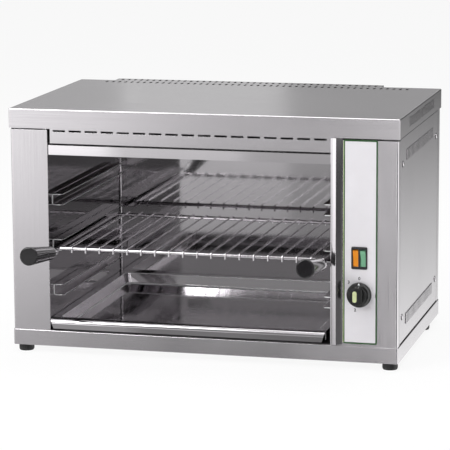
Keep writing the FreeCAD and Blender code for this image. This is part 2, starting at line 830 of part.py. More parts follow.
def rear_box():
    """Make the shallow box on the back that takes the deep end of the chamber."""
    case = body("RearBox", "rear_box")
    face = rectangle(sketch_on(case, "XZ_Plane", "-(box_back)"), "box_left", "box_right",
                     "box_bottom", "box_top")
    pad(case, face, "rear_box_depth")
    inside = rectangle(sketch_on(case, "XZ_Plane", "-(rear)"), "box_left + sheet",
                       "box_right - sheet", "box_bottom + sheet", "box_top - sheet")
    pocket(case, inside, "rear_box_depth - sheet")
    for near, far in (("box_left", "box_left - rear_box_flange"),
                      ("box_right", "box_right + rear_box_flange")):
        low, high = sorted((near, far), key=amount)
        ear = rectangle(sketch_on(case, "XZ_Plane", "-(rear + sheet)"), low, high,
                        "box_bottom", "cover_bottom")
        pad(case, ear, "sheet")
        holes = sketch_on(case, "XZ_Plane", "-(rear)")
        for index in range(int(SIZES["rear_box_screw_count"])):
            circle(holes, f"({near} + {far}) / 2", box_screw_height(index), "screw_bore")
        pocket(case, holes, "sheet")
    slot = upright_slot(sketch_on(case, "XY_Plane", "box_top"), "box_slot_first",
                        "box_back - rear_box_slot_inset", "cover_slot_length", "cover_slot_width")
    repeat(case, [pocket(case, slot, "2 * sheet")], "X_Axis", "box_slot_pitch",
           "rear_box_slot_count")


def chamber_shell():
    """Line the chamber: floor, two side walls and a back with short returns."""
    floor = box("ChamberFloor", ("wall_left", "wall_right"), ("wall_front", "chamber_back + sheet"),
                ("base_top", "floor_top"))
    keep(floor, "chamber_floor")
    run = ("wall_front", "wall_seam")
    rise = ("floor_top", "wall_top")
    keep(box("ChamberLeftWall", ("wall_left", "chamber_left"), run, rise), "chamber_left_wall")
    wall = box("RightWallSheet", ("chamber_right", "wall_right"), run, rise)
    keep(cut("ChamberRightWall", wall, element_bores("WallBore")), "chamber_right_wall")
    back = body("ChamberBackWall", "chamber_back_wall")
    start = "wall_seam + wall_seam_gap"
    points = [("wall_left", start), ("wall_left", "chamber_back + sheet"),
              ("wall_right", "chamber_back + sheet"), ("wall_right", start),
              ("chamber_right", start), ("chamber_right", "chamber_back"),
              ("chamber_left", "chamber_back"), ("chamber_left", start)]
    pad(back, outline(sketch_on(back, "XY_Plane", "floor_top"), points), "wall_top - floor_top")


def upper_fascia():
    """Make the slotted strip over the chamber's mouth, with the flange that it hangs from."""
    strip = body("UpperFascia", "upper_fascia")
    face = rectangle(sketch_on(strip, "XZ_Plane", "-(wall_front)"), "upper_fascia_left",
                     "chamber_right", "upper_fascia_bottom", "wall_top + sheet")
    pad(strip, face, "sheet")
    flange = rectangle(sketch_on(strip, "XY_Plane", "wall_top"), "wall_left", "wall_right",
                       "wall_front", "wall_front + upper_fascia_flange")
    pad(strip, flange, "sheet")
    middle = "(cover_bottom - fascia_slot_drop)"
    start = "upper_fascia_left + fascia_slot_margin"
    slot = rectangle(sketch_on(strip, "XZ_Plane", "-(front)"), start, f"{start} + fascia_slot_length",
                     f"{middle} - fascia_slot_height / 2", f"{middle} + fascia_slot_height / 2")
    repeat(strip, [pocket(strip, slot, "2 * sheet")], "X_Axis", "fascia_slot_pitch",
           "fascia_slot_count")


def element_leg(index, side):
    """Give the place along Y of one leg of a heating element."""
    return f"element_first + {index} * element_pitch + {side} * element_span / 2"


def element_bores(name):
    """Make the round tools that clear the heating elements through the right-hand sheets."""
    tools = []
    for index in range(int(SIZES["element_count"])):
        for side in (-1, 1):
            tools.append(rod(name, "x", "element_radius + element_clearance",
                             ("chamber_right - 2 * sheet", "wall_right + sheet"),
                             element_leg(index, side), "element_height"))
    return tools


def heat_reflector():
    """Make the upturned reflector pan that closes the chamber's top."""
    outer = box("ReflectorBlock", ("chamber_left", "chamber_right"),
                ("reflector_front", "chamber_back"), ("reflector_bottom", "reflector_top"))
    inner = box("ReflectorHollow", ("chamber_left + sheet", "chamber_right - sheet"),
                ("reflector_front + sheet", "chamber_back - sheet"),
                ("reflector_bottom - sheet", "reflector_under"))
    keep(cut("HeatReflector", outer, [inner] + element_bores("ReflectorBore")), "heat_reflector")


def heating_elements():
    """Make the hairpin heating elements and the plates that they hang in."""
    z = amount("element_height")
    right = amount("wall_right + element_tail")
    left = amount("chamber_left + element_inset")
    labels = ("front", "middle", "rear")
    for index in range(int(SIZES["element_count"])):
        near = amount(element_leg(index, -1))
        far = amount(element_leg(index, 1))
        points = [Vector(right, near, z), Vector(left, near, z), Vector(left, far, z),
                  Vector(right, far, z)]
        bend = amount("element_span * element_bend_share")
        hairpin = bent_rod(points, amount("element_radius"), bend)
        label = labels[index] if index < len(labels) else str(index + 1)
        shaped("HeatingElement", f"heating_element_{label}", hairpin)
    element_hangers()


def element_hangers():
    """Make the thin plates under the reflector, each with two holes for one element."""
    plates = []
    bores = []
    for index in range(int(SIZES["element_count"])):
        near = element_leg(index, -1)
        far = element_leg(index, 1)
        for place in ("chamber_left + hanger_inset", "chamber_right - hanger_inset"):
            plates.append(box("HangerPlate", (place, f"{place} + sheet"),
                              (f"{near} - element_radius - hanger_margin",
                               f"{far} + element_radius + hanger_margin"),
                              ("element_height - hanger_margin", "reflector_under")))
            for leg in (near, far):
                bores.append(rod("HangerBore", "x", "element_radius + element_clearance",
                                 (f"{place} - sheet", f"{place} + 2 * sheet"), leg,
                                 "element_height"))
    keep(cut("ElementHangers", joined("HangerPlates", plates), bores), "element_hangers")


def rack_guides():
    """Make three pairs of channels, open to the chamber, that carry the rack."""
    for side, wall, sign in (("left", "chamber_left", 1), ("right", "chamber_right", -1)):
        for level, height in enumerate(("low", "middle", "high")):
            guide = body("RackGuide", f"guide_{side}_{height}")
            bottom = f"(guide_low + {level} * guide_pitch)"
            top = f"({bottom} + guide_height)"
            tip = f"{wall} + {sign} * guide_reach"
            web = f"{wall} + {sign} * guide_sheet"
            points = [(wall, bottom), (tip, bottom), (tip, f"{bottom} + guide_sheet"),
                      (web, f"{bottom} + guide_sheet"), (web, f"{top} - guide_sheet"),
                      (tip, f"{top} - guide_sheet"), (tip, top), (wall, top)]
            channel = pad(guide, outline(sketch_on(guide, "XZ_Plane", "-(guide_back)"), points),
                          "guide_back - guide_front")
            doc.recompute()
            corners = straight_edges(channel, "z", x=tip, y="guide_front")
            fillet(guide, channel, corners, "guide_corner")


def wire_rack():
    """Make the rack: two side rods that run on into the grips, two cross bars and the wires."""
    tilt = amount("grip_turn")
    forward = Vector(0, -math.cos(tilt), math.sin(tilt))
    radius = amount("rack_rod / 2")
    height = amount("rack_height")
    back = amount("rack_back")
    rods = []
    for edge in ("rack_left", "rack_right"):
        x = amount(edge)
        entry = Vector(x, amount("grip_rear"), amount("grip_height"))
        points = [Vector(x, back + radius, height),
                  Vector(x, amount("rack_front - rack_bend_ahead"), height),
                  entry - forward * amount("rod_lead"), entry + forward * amount("rod_in_grip")]
        rods.append(bent_rod(points, radius, amount("rack_bend")))
    start = Vector(amount("rack_left + rack_rod / 2 + rack_weld"), 0, height)
    length = amount("rack_right - rack_left - rack_rod - 2 * rack_weld")
    for along in ("rack_front", "rack_back"):
        place = Vector(start.x, amount(along), height)
        rods.append(Part.makeCylinder(radius, length, place, Vector(1, 0, 0)))
    shaped("RackFrame", "rack_frame", Part.makeCompound(rods))
    shaped("RackWires", "rack_wires", Part.makeCompound(rack_wires()))


def rack_wires():
    """Make the wires that lie over both cross bars, with their ends bent down round them."""
    wrap = amount("rack_wrap")
    front = amount("rack_front") - wrap
    back = amount("rack_back") + wrap
    top = amount("rack_height") + wrap
    low = amount("rack_height - rack_wire_drop")
    wires = []
    for index in range(int(SIZES["rack_wire_count"])):
        x = amount(f"rack_left + {index + 1} * rack_wire_pitch")
        points = [Vector(x, front, low), Vector(x, front, top), Vector(x, back, top),
                  Vector(x, back, low)]
        wires.append(bent_rod(points, amount("rack_wire / 2"), wrap))
    return wires


def grips():
    """Turn the two heat-resistant grips, each tilted up towards its flat front."""
    bore = "(rack_rod / 2 + grip_fit)"
    for side in ("left", "right"):
        grip = body("Grip", f"grip_{side}")
        flare = "grip_neck_radius + grip_flare_share * (grip_waist_radius - grip_neck_radius)"
        points = [("0", bore), ("0", "grip_neck_radius"),
                  ("-grip_flare_run_share * grip_waist_run", flare),
                  ("-grip_waist_run", "grip_waist_radius"), ("-grip_length", "grip_radius"),
                  ("-grip_length", "0"), ("-grip_bore", "0"), ("-grip_bore", bore)]
        turned = revolve(grip, outline(sketch_on(grip, "YZ_Plane", "0"), points))
        doc.recompute()
        fillet(grip, turned, level_edges(turned, y="-grip_length"), "grip_rim")
        grip.Placement = Placement(ORIGIN, Rotation(Vector(-1, 0, 0), SIZES["grip_tilt"]))
        bind(grip, Placement__Rotation__Angle="grip_tilt", Placement__Base__x=f"rack_{side}")
        bind(grip, Placement__Base__y="grip_rear", Placement__Base__z="grip_height")


def basin_block(owner, top, spread, corner, depth):
    """Raise a block with rounded corners and leaning walls, the shape of the tray's basin."""
    plan = rounded_rectangle(sketch_on(owner, "XY_Plane", top), f"basin_left - {spread}",
                             f"basin_right + {spread}", f"basin_front - {spread}",
                             f"basin_back + {spread}", corner)
    return drafted(pad(owner, plan, depth, backward=True), "-tray_draft")


def drip_tray():
    """Make the pressed tray: drafted basin, flat rim and a folded front edge."""
    outer = doc.addObject("PartDesign::Body", "TrayBlock")
    block = basin_block(outer, "tray_under", "sheet", "tray_basin_corner", "tray_under - tray_bottom")
    fillet(outer, block, level_edges(block, z="tray_bottom"), "tray_bottom_fillet + sheet")
    plate = rounded_rectangle(sketch_on(outer, "XY_Plane", "tray_under"), "tray_left", "tray_right",
                              "tray_front + tray_fold", "tray_back", "tray_corner")
    pad(outer, plate, "sheet")
    tray_front_fold(outer)
    inner = doc.addObject("PartDesign::Body", "TrayHollow")
    hollow = basin_block(inner, "tray_top", "0", "(tray_basin_corner - sheet)",
                         "tray_top - tray_bottom - sheet")
    fillet(inner, hollow, level_edges(hollow, z="tray_bottom + sheet"), "tray_bottom_fillet")
    keep(cut("DripTray", outer, [inner]), "drip_tray")


def tray_front_fold(tray):
    """Fold the tray's front rim down over the body's front edge."""
    points = [("tray_front + tray_fold", "tray_top"), ("tray_front", "tray_top"),
              ("tray_front", "tray_top - tray_flange_drop"),
              ("tray_front + sheet", "tray_top - tray_flange_drop"),
              ("tray_front + sheet", "tray_under"), ("tray_front + tray_fold", "tray_under")]
    profile = outline(sketch_on(tray, "YZ_Plane", "tray_left + tray_flange_inset"), points)
    flange = pad(tray, profile, "tray_right - tray_left - 2 * tray_flange_inset")
    doc.recompute()
    fold = straight_edges(flange, "x", y="tray_front", z="tray_top")
    outer = fillet(tray, flange, fold, "tray_fold_radius")
    inner = straight_edges(outer, "x", y="tray_front + sheet", z="tray_under")
    fillet(tray, outer, inner, "tray_inner_fold")


def control_post():
    """Make the bright moulding between the chamber's mouth and the controls."""
    post = body("ControlPost", "control_post")
    points = [("chamber_right", "front"), ("chamber_right", "front - post_reach"),
              ("chamber_right + post_front", "front - post_reach"),
              ("chamber_right + post_front + post_lip", "front - post_lip_reach"),
              ("chamber_right + post_width", "front")]
    plan = outline(sketch_on(post, "XY_Plane", "base_top + post_lift"), points)
    raised = pad(post, plan, "cover_bottom - base_top - post_lift")
    doc.recompute()
    nose = straight_edges(raised, "z", x="chamber_right", y="front - post_reach")
    nose += straight_edges(raised, "z", x="chamber_right + post_front", y="front - post_reach")
    fillet(post, raised, nose, "post_nose")


def control_label():
    """Make the printed plate behind the controls."""
    label = body("ControlLabel", "control_label")
    face = rectangle(sketch_on(label, "XZ_Plane", "-(front)"), "label_left", "label_right",
                     "label_bottom", "label_top")
    plate = pad(label, face, "label_thickness")
    doc.recompute()
    fillet(label, plate, straight_edges(plate, "y"), "label_corner")
    pocket(label, control_windows(label, "label_face"), "2 * label_thickness")


def rotary_selector():
    """Make the selector behind the fascia, its shaft and the knob with its inlays."""
    half = "selector_width / 2"
    case = box("SelectorCase", (f"control_middle - {half}", f"control_middle + {half}"),
               ("wall_front", "wall_front + selector_depth"),
               (f"knob_axis - {half}", f"knob_axis + {half}"))
    socket = rod("SelectorSocket", "y", "shaft_radius + shaft_fit",
                 "control_middle", ("front", "wall_front + shaft_in_switch + knob_gap"), "knob_axis")
    keep(cut("RotarySelector", case, [socket]), "rotary_selector")
    shaft = rod("SelectorShaft", "y", "shaft_radius", "control_middle",
                ("knob_back - knob_bore + knob_gap", "wall_front + shaft_in_switch"), "knob_axis")
    keep(shaft, "selector_shaft")
    knob()


def seat_on_knob(piece, depth):
    """Place a piece that is drawn about the knob's axis."""
    bind(piece, Placement__Base__x="control_middle", Placement__Base__z="knob_axis")
    bind(piece, Placement__Base__y=f"knob_back - ({depth})")


def knob():
    """Make the knob: bevelled skirt, round body and a broad bar to turn it by."""
    turned = body("Knob", "knob")
    bore = "(shaft_radius + shaft_fit)"
    points = [("0", bore), ("0", "knob_skirt_radius"), ("-knob_skirt + knob_edge", "knob_skirt_radius"),
              ("-knob_skirt", "knob_skirt_radius - knob_edge"),
              ("-knob_skirt", "knob_body_radius"),
              ("-knob_body + knob_edge", "knob_body_radius - knob_taper"),
              ("-knob_body", "knob_body_radius - knob_bevel"),
              ("-knob_body", "0"), ("-knob_bore", "0"), ("-knob_bore", bore)]
    revolve(turned, outline(sketch_on(turned, "YZ_Plane", "0"), points))
    bar = rounded_rectangle(sketch_on(turned, "XZ_Plane", "knob_bore"), "-knob_bar_width / 2",
                            "knob_bar_width / 2", "-knob_bar_length / 2", "knob_bar_length / 2",
                            "knob_bar_corner")
    raised = pad(turned, bar, "knob_depth - knob_bore")
    doc.recompute()
    fillet(turned, raised, level_edges(raised, y="-knob_depth"), "knob_edge")
    seat_on_knob(turned, "0")
    window = body("KnobWindow", "knob_window")
    oblong = upright_slot(sketch_on(window, "XZ_Plane", "0"), "-window_offset", "0",
                          "window_height", "window_width")
    pad(window, oblong, "inlay")
    seat_on_knob(window, "knob_depth")
    pointer = body("KnobPointer", "knob_pointer")
    triangle = outline(sketch_on(pointer, "XZ_Plane", "0"),
                       [("-pointer_width / 2", "pointer_rise - pointer_height / 2"),
                        ("pointer_width / 2", "pointer_rise - pointer_height / 2"),
                        ("0", "pointer_rise + pointer_height / 2")])
    pad(pointer, triangle, "inlay")
    seat_on_knob(pointer, "knob_skirt")


def rocker_switch():
    """Make the twin switch: housing with its bezel, a pin, and the two coloured rockers."""
    housing = body("SwitchHousing", "switch_housing")
    bezel = rectangle(sketch_on(housing, "XZ_Plane", "-(label_face)"),
                      "control_middle - bezel_width / 2", "control_middle + bezel_width / 2",
                      "switch_middle - bezel_height / 2", "switch_middle + bezel_height / 2")
    frame = pad(housing, bezel, "bezel_proud")
    doc.recompute()
    rounded = fillet(housing, frame, straight_edges(frame, "y"), "bezel_corner")
    fillet(housing, rounded, level_edges(rounded, y="bezel_face"), "bezel_edge")
    wide = "(cavity_half_width + switch_wall - switch_fit)"
    tall = "(cavity_half_height + switch_wall - switch_fit)"
    case = rectangle(sketch_on(housing, "XZ_Plane", "-(label_face + switch_depth)"),
                     f"control_middle - {wide}", f"control_middle + {wide}",
                     f"switch_middle - {tall}", f"switch_middle + {tall}")
    pad(housing, case, "switch_depth")
    cells = sketch_on(housing, "XZ_Plane", "-(bezel_face)")
    for sign in (-1, 1):
        low, high = sorted((f"control_middle + {sign} * switch_divider / 2",
                            f"control_middle + {sign} * cavity_half_width"), key=amount)
        rectangle(cells, low, high, "switch_middle - cavity_half_height",
                  "switch_middle + cavity_half_height")
    pocket(housing, cells, "bezel_proud + switch_depth - switch_floor")
    pin_hole = circle(sketch_on(housing, "YZ_Plane", "control_middle + bezel_width / 2"),
                      "rocker_pivot", "switch_middle", "rocker_pin_radius + rocker_pin_fit")
    pocket(housing, pin_hole, "bezel_width")
    pin = rod("RockerPin", "x", "rocker_pin_radius", (f"control_middle - {wide}",
              f"control_middle + {wide}"), "rocker_pivot", "switch_middle")
    keep(pin, "rocker_pin")
    rocker("RockerOrange", "rocker_orange", -1)
    rocker("RockerGreen", "rocker_green", 1)


def rocker(name, label, sign):
    """Make one rocker, hollow-faced, tipped to its resting side about the pin."""
    piece = body(name, label)
    tip = "(rocker_face + rocker_half_height * tan(rocker_tilt * 1 deg))"
    heel = "(rocker_half_height - rocker_heel_inset)"
    points = [("rocker_back", f"-{heel}"), (f"-{tip}", "-rocker_half_height"), ("-rocker_face", "0"),
              (f"-{tip}", "rocker_half_height"), ("rocker_back", heel)]
    profile = outline(sketch_on(piece, "YZ_Plane", "-rocker_width / 2"), points)
    pad(piece, profile, "rocker_width")
    bore = circle(sketch_on(piece, "YZ_Plane", "rocker_width / 2"), "0", "0",
                  "rocker_pin_radius + rocker_pin_fit")
    pocket(piece, bore, "rocker_width")
    piece.Placement = Placement(ORIGIN, Rotation(Vector(1, 0, 0), SIZES["rocker_tilt"]))
    bind(piece, Placement__Rotation__Angle="rocker_tilt")
    bind(piece, Placement__Base__x=f"control_middle + {sign} * rocker_offset")
    bind(piece, Placement__Base__y="rocker_pivot", Placement__Base__z="switch_middle")


def uprights():
    """Make the four angle uprights that carry the panels and the cover."""
    for depth, face, sense in (("front", "wall_front", 1), ("rear", "rear_inside", -1)):
        for side, sign in (("left", -1), ("right", 1)):
            post = body("Upright", f"upright_{depth}_{side}")
            corner = f"{sign} * upright_corner"
            inner = f"{sign} * (upright_corner - upright_sheet)"
            tip = f"{sign} * (upright_corner - upright_face)"
            end = f"{face} + {sense} * upright_side"
            lip = f"{face} + {sense} * upright_sheet"
            points = [(corner, face), (tip, face), (tip, lip), (inner, lip), (inner, end),
                      (corner, end)]
            raised = pad(post, outline(sketch_on(post, "XY_Plane", "base_top"), points),
                         "cover_under - base_top")
            doc.recompute()
            fillet(post, raised, straight_edges(raised, "z", x=corner, y=face), "inner_fold")
            along = "screw_front_place" if depth == "front" else "screw_rear_place"
            holes = sketch_on(post, "YZ_Plane", corner)
            for up in ("screw_low_place", "screw_high_place"):
                circle(holes, along, up, "screw_bore")
            pocket(post, holes, "upright_sheet", forward=sign < 0)


def screw(axis, seat, sense, centre):
    """Make a pan-headed screw whose head sits on a sheet and whose shank goes through it."""
    ends = {-1: (f"{seat} - screw_length", seat), 1: (seat, f"{seat} + screw_length")}
    tops = {-1: (seat, f"{seat} + screw_head"), 1: (f"{seat} - screw_head", seat)}
    first, second = centre
    around = {"x": lambda run: {"x": run, "y": first, "z": second},
              "y": lambda run: {"x": first, "y": run, "z": second}}[axis]
    shank = rod("ScrewShank", axis, "screw_shank_radius", **around(ends[sense]))
    head = rod("ScrewHead", axis, "screw_head_radius", **around(tops[sense]))
    return joined("Screw", [shank, head])


def side_screws():
    """Make the four screws of each side panel."""
    for side, sign in (("left", -1), ("right", 1)):
        screws = [screw("x", f"{sign} * side", -sign, (along, up))
                  for along in ("screw_front_place", "screw_rear_place")
                  for up in ("screw_low_place", "screw_high_place")]
        keep(joined("SideScrews", screws), f"side_screws_{side}")


def rear_box_screws():
    """Make the screws that hold the rear box by its flanges."""
    screws = [screw("y", "rear + sheet", -1, (edge, box_screw_height(index)))
              for edge in ("box_left - rear_box_flange / 2", "box_right + rear_box_flange / 2")
              for index in range(int(SIZES["rear_box_screw_count"]))]
    keep(joined("RearBoxScrews", screws), "rear_box_screws")


def foot_centres():
    """Give each foot's name and the formulas of its centre."""
    return [(f"{depth}_{side}", sign + "foot_side", f"foot_{depth}")
            for depth in ("front", "rear") for side, sign in (("left", "-"), ("right", ""))]


def feet():
    """Make the four rubber feet with the screws and nuts that hold them."""
    screws = []
    nuts = []
    for label, across, along in foot_centres():
        foot = body("Foot", f"foot_{label}")
        ring = [("foot_bore", "foot_well"), ("foot_well_radius", "foot_well"),
                ("foot_well_radius", "0"), ("foot_foot_radius", "0"), ("foot_radius", "foot_bevel"),
                ("foot_radius", "foot_height"), ("foot_bore", "foot_height")]
        turned = foot.newObject("PartDesign::Revolution", "FootRevolution")
        turned.Profile = outline(sketch_on(foot, "XZ_Plane", "0"), ring)
        turned.ReferenceAxis = (turned.Profile[0], ["V_Axis"])
        turned.Angle = 360
        bind(foot, Placement__Base__x=across, Placement__Base__y=along)
        shank = rod("FootShank", "z", "foot_screw_radius", across, along,
                    ("foot_well - foot_screw_head / 2", "base_bottom + sheet + foot_nut + foot_screw_end"))
        head = rod("FootScrewHead", "z", "foot_screw_head_radius", across, along,
                   ("foot_well - foot_screw_head", "foot_well"))
        screws.append(joined("FootScrew", [shank, head]))
        nuts.append(foot_nut(across, along))
    keep(joined("FootScrews", screws), "foot_screws")
    keep(joined("FootNuts", nuts), "foot_nuts")


def foot_nut(across, along):
    """Make a hexagon nut on the base's floor."""
    nut = doc.addObject("Part::Prism", "NutBlock")
    nut.Polygon = 6
    bind(nut, Circumradius="foot_nut_radius", Height="foot_nut")
    bind(nut, Placement__Base__x=across, Placement__Base__y=along)
    bind(nut, Placement__Base__z="base_bottom + sheet")
    bore = rod("NutBore", "z", "foot_screw_radius + foot_thread_fit", across, along,
               ("base_bottom", "base_bottom + 2 * sheet + foot_nut"))
    return cut("FootNut", nut, [bore])


def supply_entry():
    """Make the cable gland in the right rear panel and the terminal block beside it."""
    gland = body("CableGland", "cable_gland")
    radius = "gland_thread_radius"
    points = [("-sheet - gland_nut", "gland_bore"), ("-sheet - gland_nut", "gland_nut_radius"),
              ("-sheet", "gland_nut_radius"), ("-sheet", radius), ("0", radius),
              ("0", "gland_head_radius"), ("gland_collar", "gland_head_radius"),
              ("gland_head", "gland_thread_radius"), ("gland_head", "gland_bore")]
    revolve(gland, outline(sketch_on(gland, "YZ_Plane", "0"), points))
    bind(gland, Placement__Base__x="gland_place", Placement__Base__y="rear")
    bind(gland, Placement__Base__z="gland_axis")
    block = box("TerminalBlock", ("side - terminal_inset - terminal_width", "side - terminal_inset"),
                ("rear_inside - terminal_depth", "rear_inside"),
                ("base_top", "base_top + terminal_height"))
    keep(block, "terminal_block")


def check_all():
    """Stop if an object failed or a sub-part has no sound solid."""
    for item in doc.Objects:
        if "Invalid" in item.State or "Error" in item.State:
            raise RuntimeError(f"{item.Label} failed: {item.State}")
    for piece in parts:
        shape = piece.Shape
        if shape.isNull() or not shape.isValid() or not shape.Solids:
            raise RuntimeError(f"{piece.Label} has no sound solid")


def export_all():
    """Write each sub-part to its own file."""
    os.makedirs("parts", exist_ok=True)
    for piece in parts:
        piece.Shape.exportStep(f"parts/{piece.Label}.step")


base_pan()
chamber_shell()
left_column()
control_fascia()
control_post()
control_label()
side_panel("LeftSidePanel", "left_side_panel", right=False)
side_panel("RightSidePanel", "right_side_panel", right=True)
back_panels()
uprights()
top_cover()
rear_box()
upper_fascia()
heat_reflector()
heating_elements()
rack_guides()
wire_rack()
grips()
drip_tray()
rotary_selector()
rocker_switch()
side_screws()
rear_box_screws()
feet()
supply_entry()
doc.recompute()
check_all()
export_all()
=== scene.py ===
import logging
import math
from abc import ABC, abstractmethod
from dataclasses import dataclass
from enum import Enum
from typing import Callable, Sequence

import bmesh
import bpy
from mathutils import Matrix, Vector


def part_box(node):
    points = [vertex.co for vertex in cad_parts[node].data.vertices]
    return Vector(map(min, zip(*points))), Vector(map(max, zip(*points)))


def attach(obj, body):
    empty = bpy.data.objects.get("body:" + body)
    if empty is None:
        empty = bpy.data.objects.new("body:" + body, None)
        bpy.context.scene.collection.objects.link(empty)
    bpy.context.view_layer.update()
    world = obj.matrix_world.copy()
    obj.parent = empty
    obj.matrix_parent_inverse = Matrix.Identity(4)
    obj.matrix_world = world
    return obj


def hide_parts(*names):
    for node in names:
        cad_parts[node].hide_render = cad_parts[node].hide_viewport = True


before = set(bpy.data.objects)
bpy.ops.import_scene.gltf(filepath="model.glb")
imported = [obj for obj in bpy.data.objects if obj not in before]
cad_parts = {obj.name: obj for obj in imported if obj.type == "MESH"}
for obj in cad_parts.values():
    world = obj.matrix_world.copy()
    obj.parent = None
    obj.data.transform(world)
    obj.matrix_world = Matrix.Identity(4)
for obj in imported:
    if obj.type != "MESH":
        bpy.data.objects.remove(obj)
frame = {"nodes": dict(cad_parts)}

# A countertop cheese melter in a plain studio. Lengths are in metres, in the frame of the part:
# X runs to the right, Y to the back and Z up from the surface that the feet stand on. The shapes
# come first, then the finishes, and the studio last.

MM = 0.001
NEAR = 0.01 * MM
MERGE = 0.001 * MM
FACING_LIMIT = 0.9
ALONG_LIMIT = 0.999
MIDDLE_REACH = 20 * MM
SHARP_ANGLE = math.radians(40)
FLAT_ANGLE = math.radians(0.5)
log = logging.getLogger("melter")

Test = Callable[[Vector], bool]
FaceTest = Callable[[Vector, Vector], bool]
Part = bmesh.types.BMVert | bmesh.types.BMEdge | bmesh.types.BMFace


class Facing(Enum):
    """The way that a turned piece points, as the turn that takes Z there."""

    UP = (0.0, 0.0, 0.0)
    FRONT = (math.pi / 2, 0.0, 0.0)
    RIGHT = (0.0, math.pi / 2, 0.0)
    LEFT = (0.0, -math.pi / 2, 0.0)


class Grain(Enum):
    """How finely a finish is grained along X, Y and Z, in waves per metre."""

    ALONG_X = (9.0, 1600.0, 1600.0)
    ALONG_Y = (1600.0, 9.0, 1600.0)
    ALONG_Z = (1600.0, 1600.0, 9.0)
    EVEN = (900.0, 900.0, 900.0)


def clear_selection() -> None:
    """Go to object mode with nothing selected."""
    if bpy.context.mode != "OBJECT":
        bpy.ops.object.mode_set(mode="OBJECT")
    bpy.ops.object.select_all(action="DESELECT")


def box_of(*nodes: str) -> tuple[Vector, Vector]:
    """Find the box round several nodes of the frame."""
    corners = [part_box(node) for node in nodes]
    low = Vector(min(corner[0][axis] for corner in corners) for axis in range(3))
    high = Vector(max(corner[1][axis] for corner in corners) for axis in range(3))
    return low, high


def middle_of(edge: bmesh.types.BMEdge) -> Vector:
    """Find an edge's middle."""
    return (edge.verts[0].co + edge.verts[1].co) / 2


def runs_along(edge: bmesh.types.BMEdge, axis: int) -> bool:
    """Tell whether an edge runs along an axis."""
    run = edge.verts[1].co - edge.verts[0].co
    return abs(run[axis]) > ALONG_LIMIT * run.length


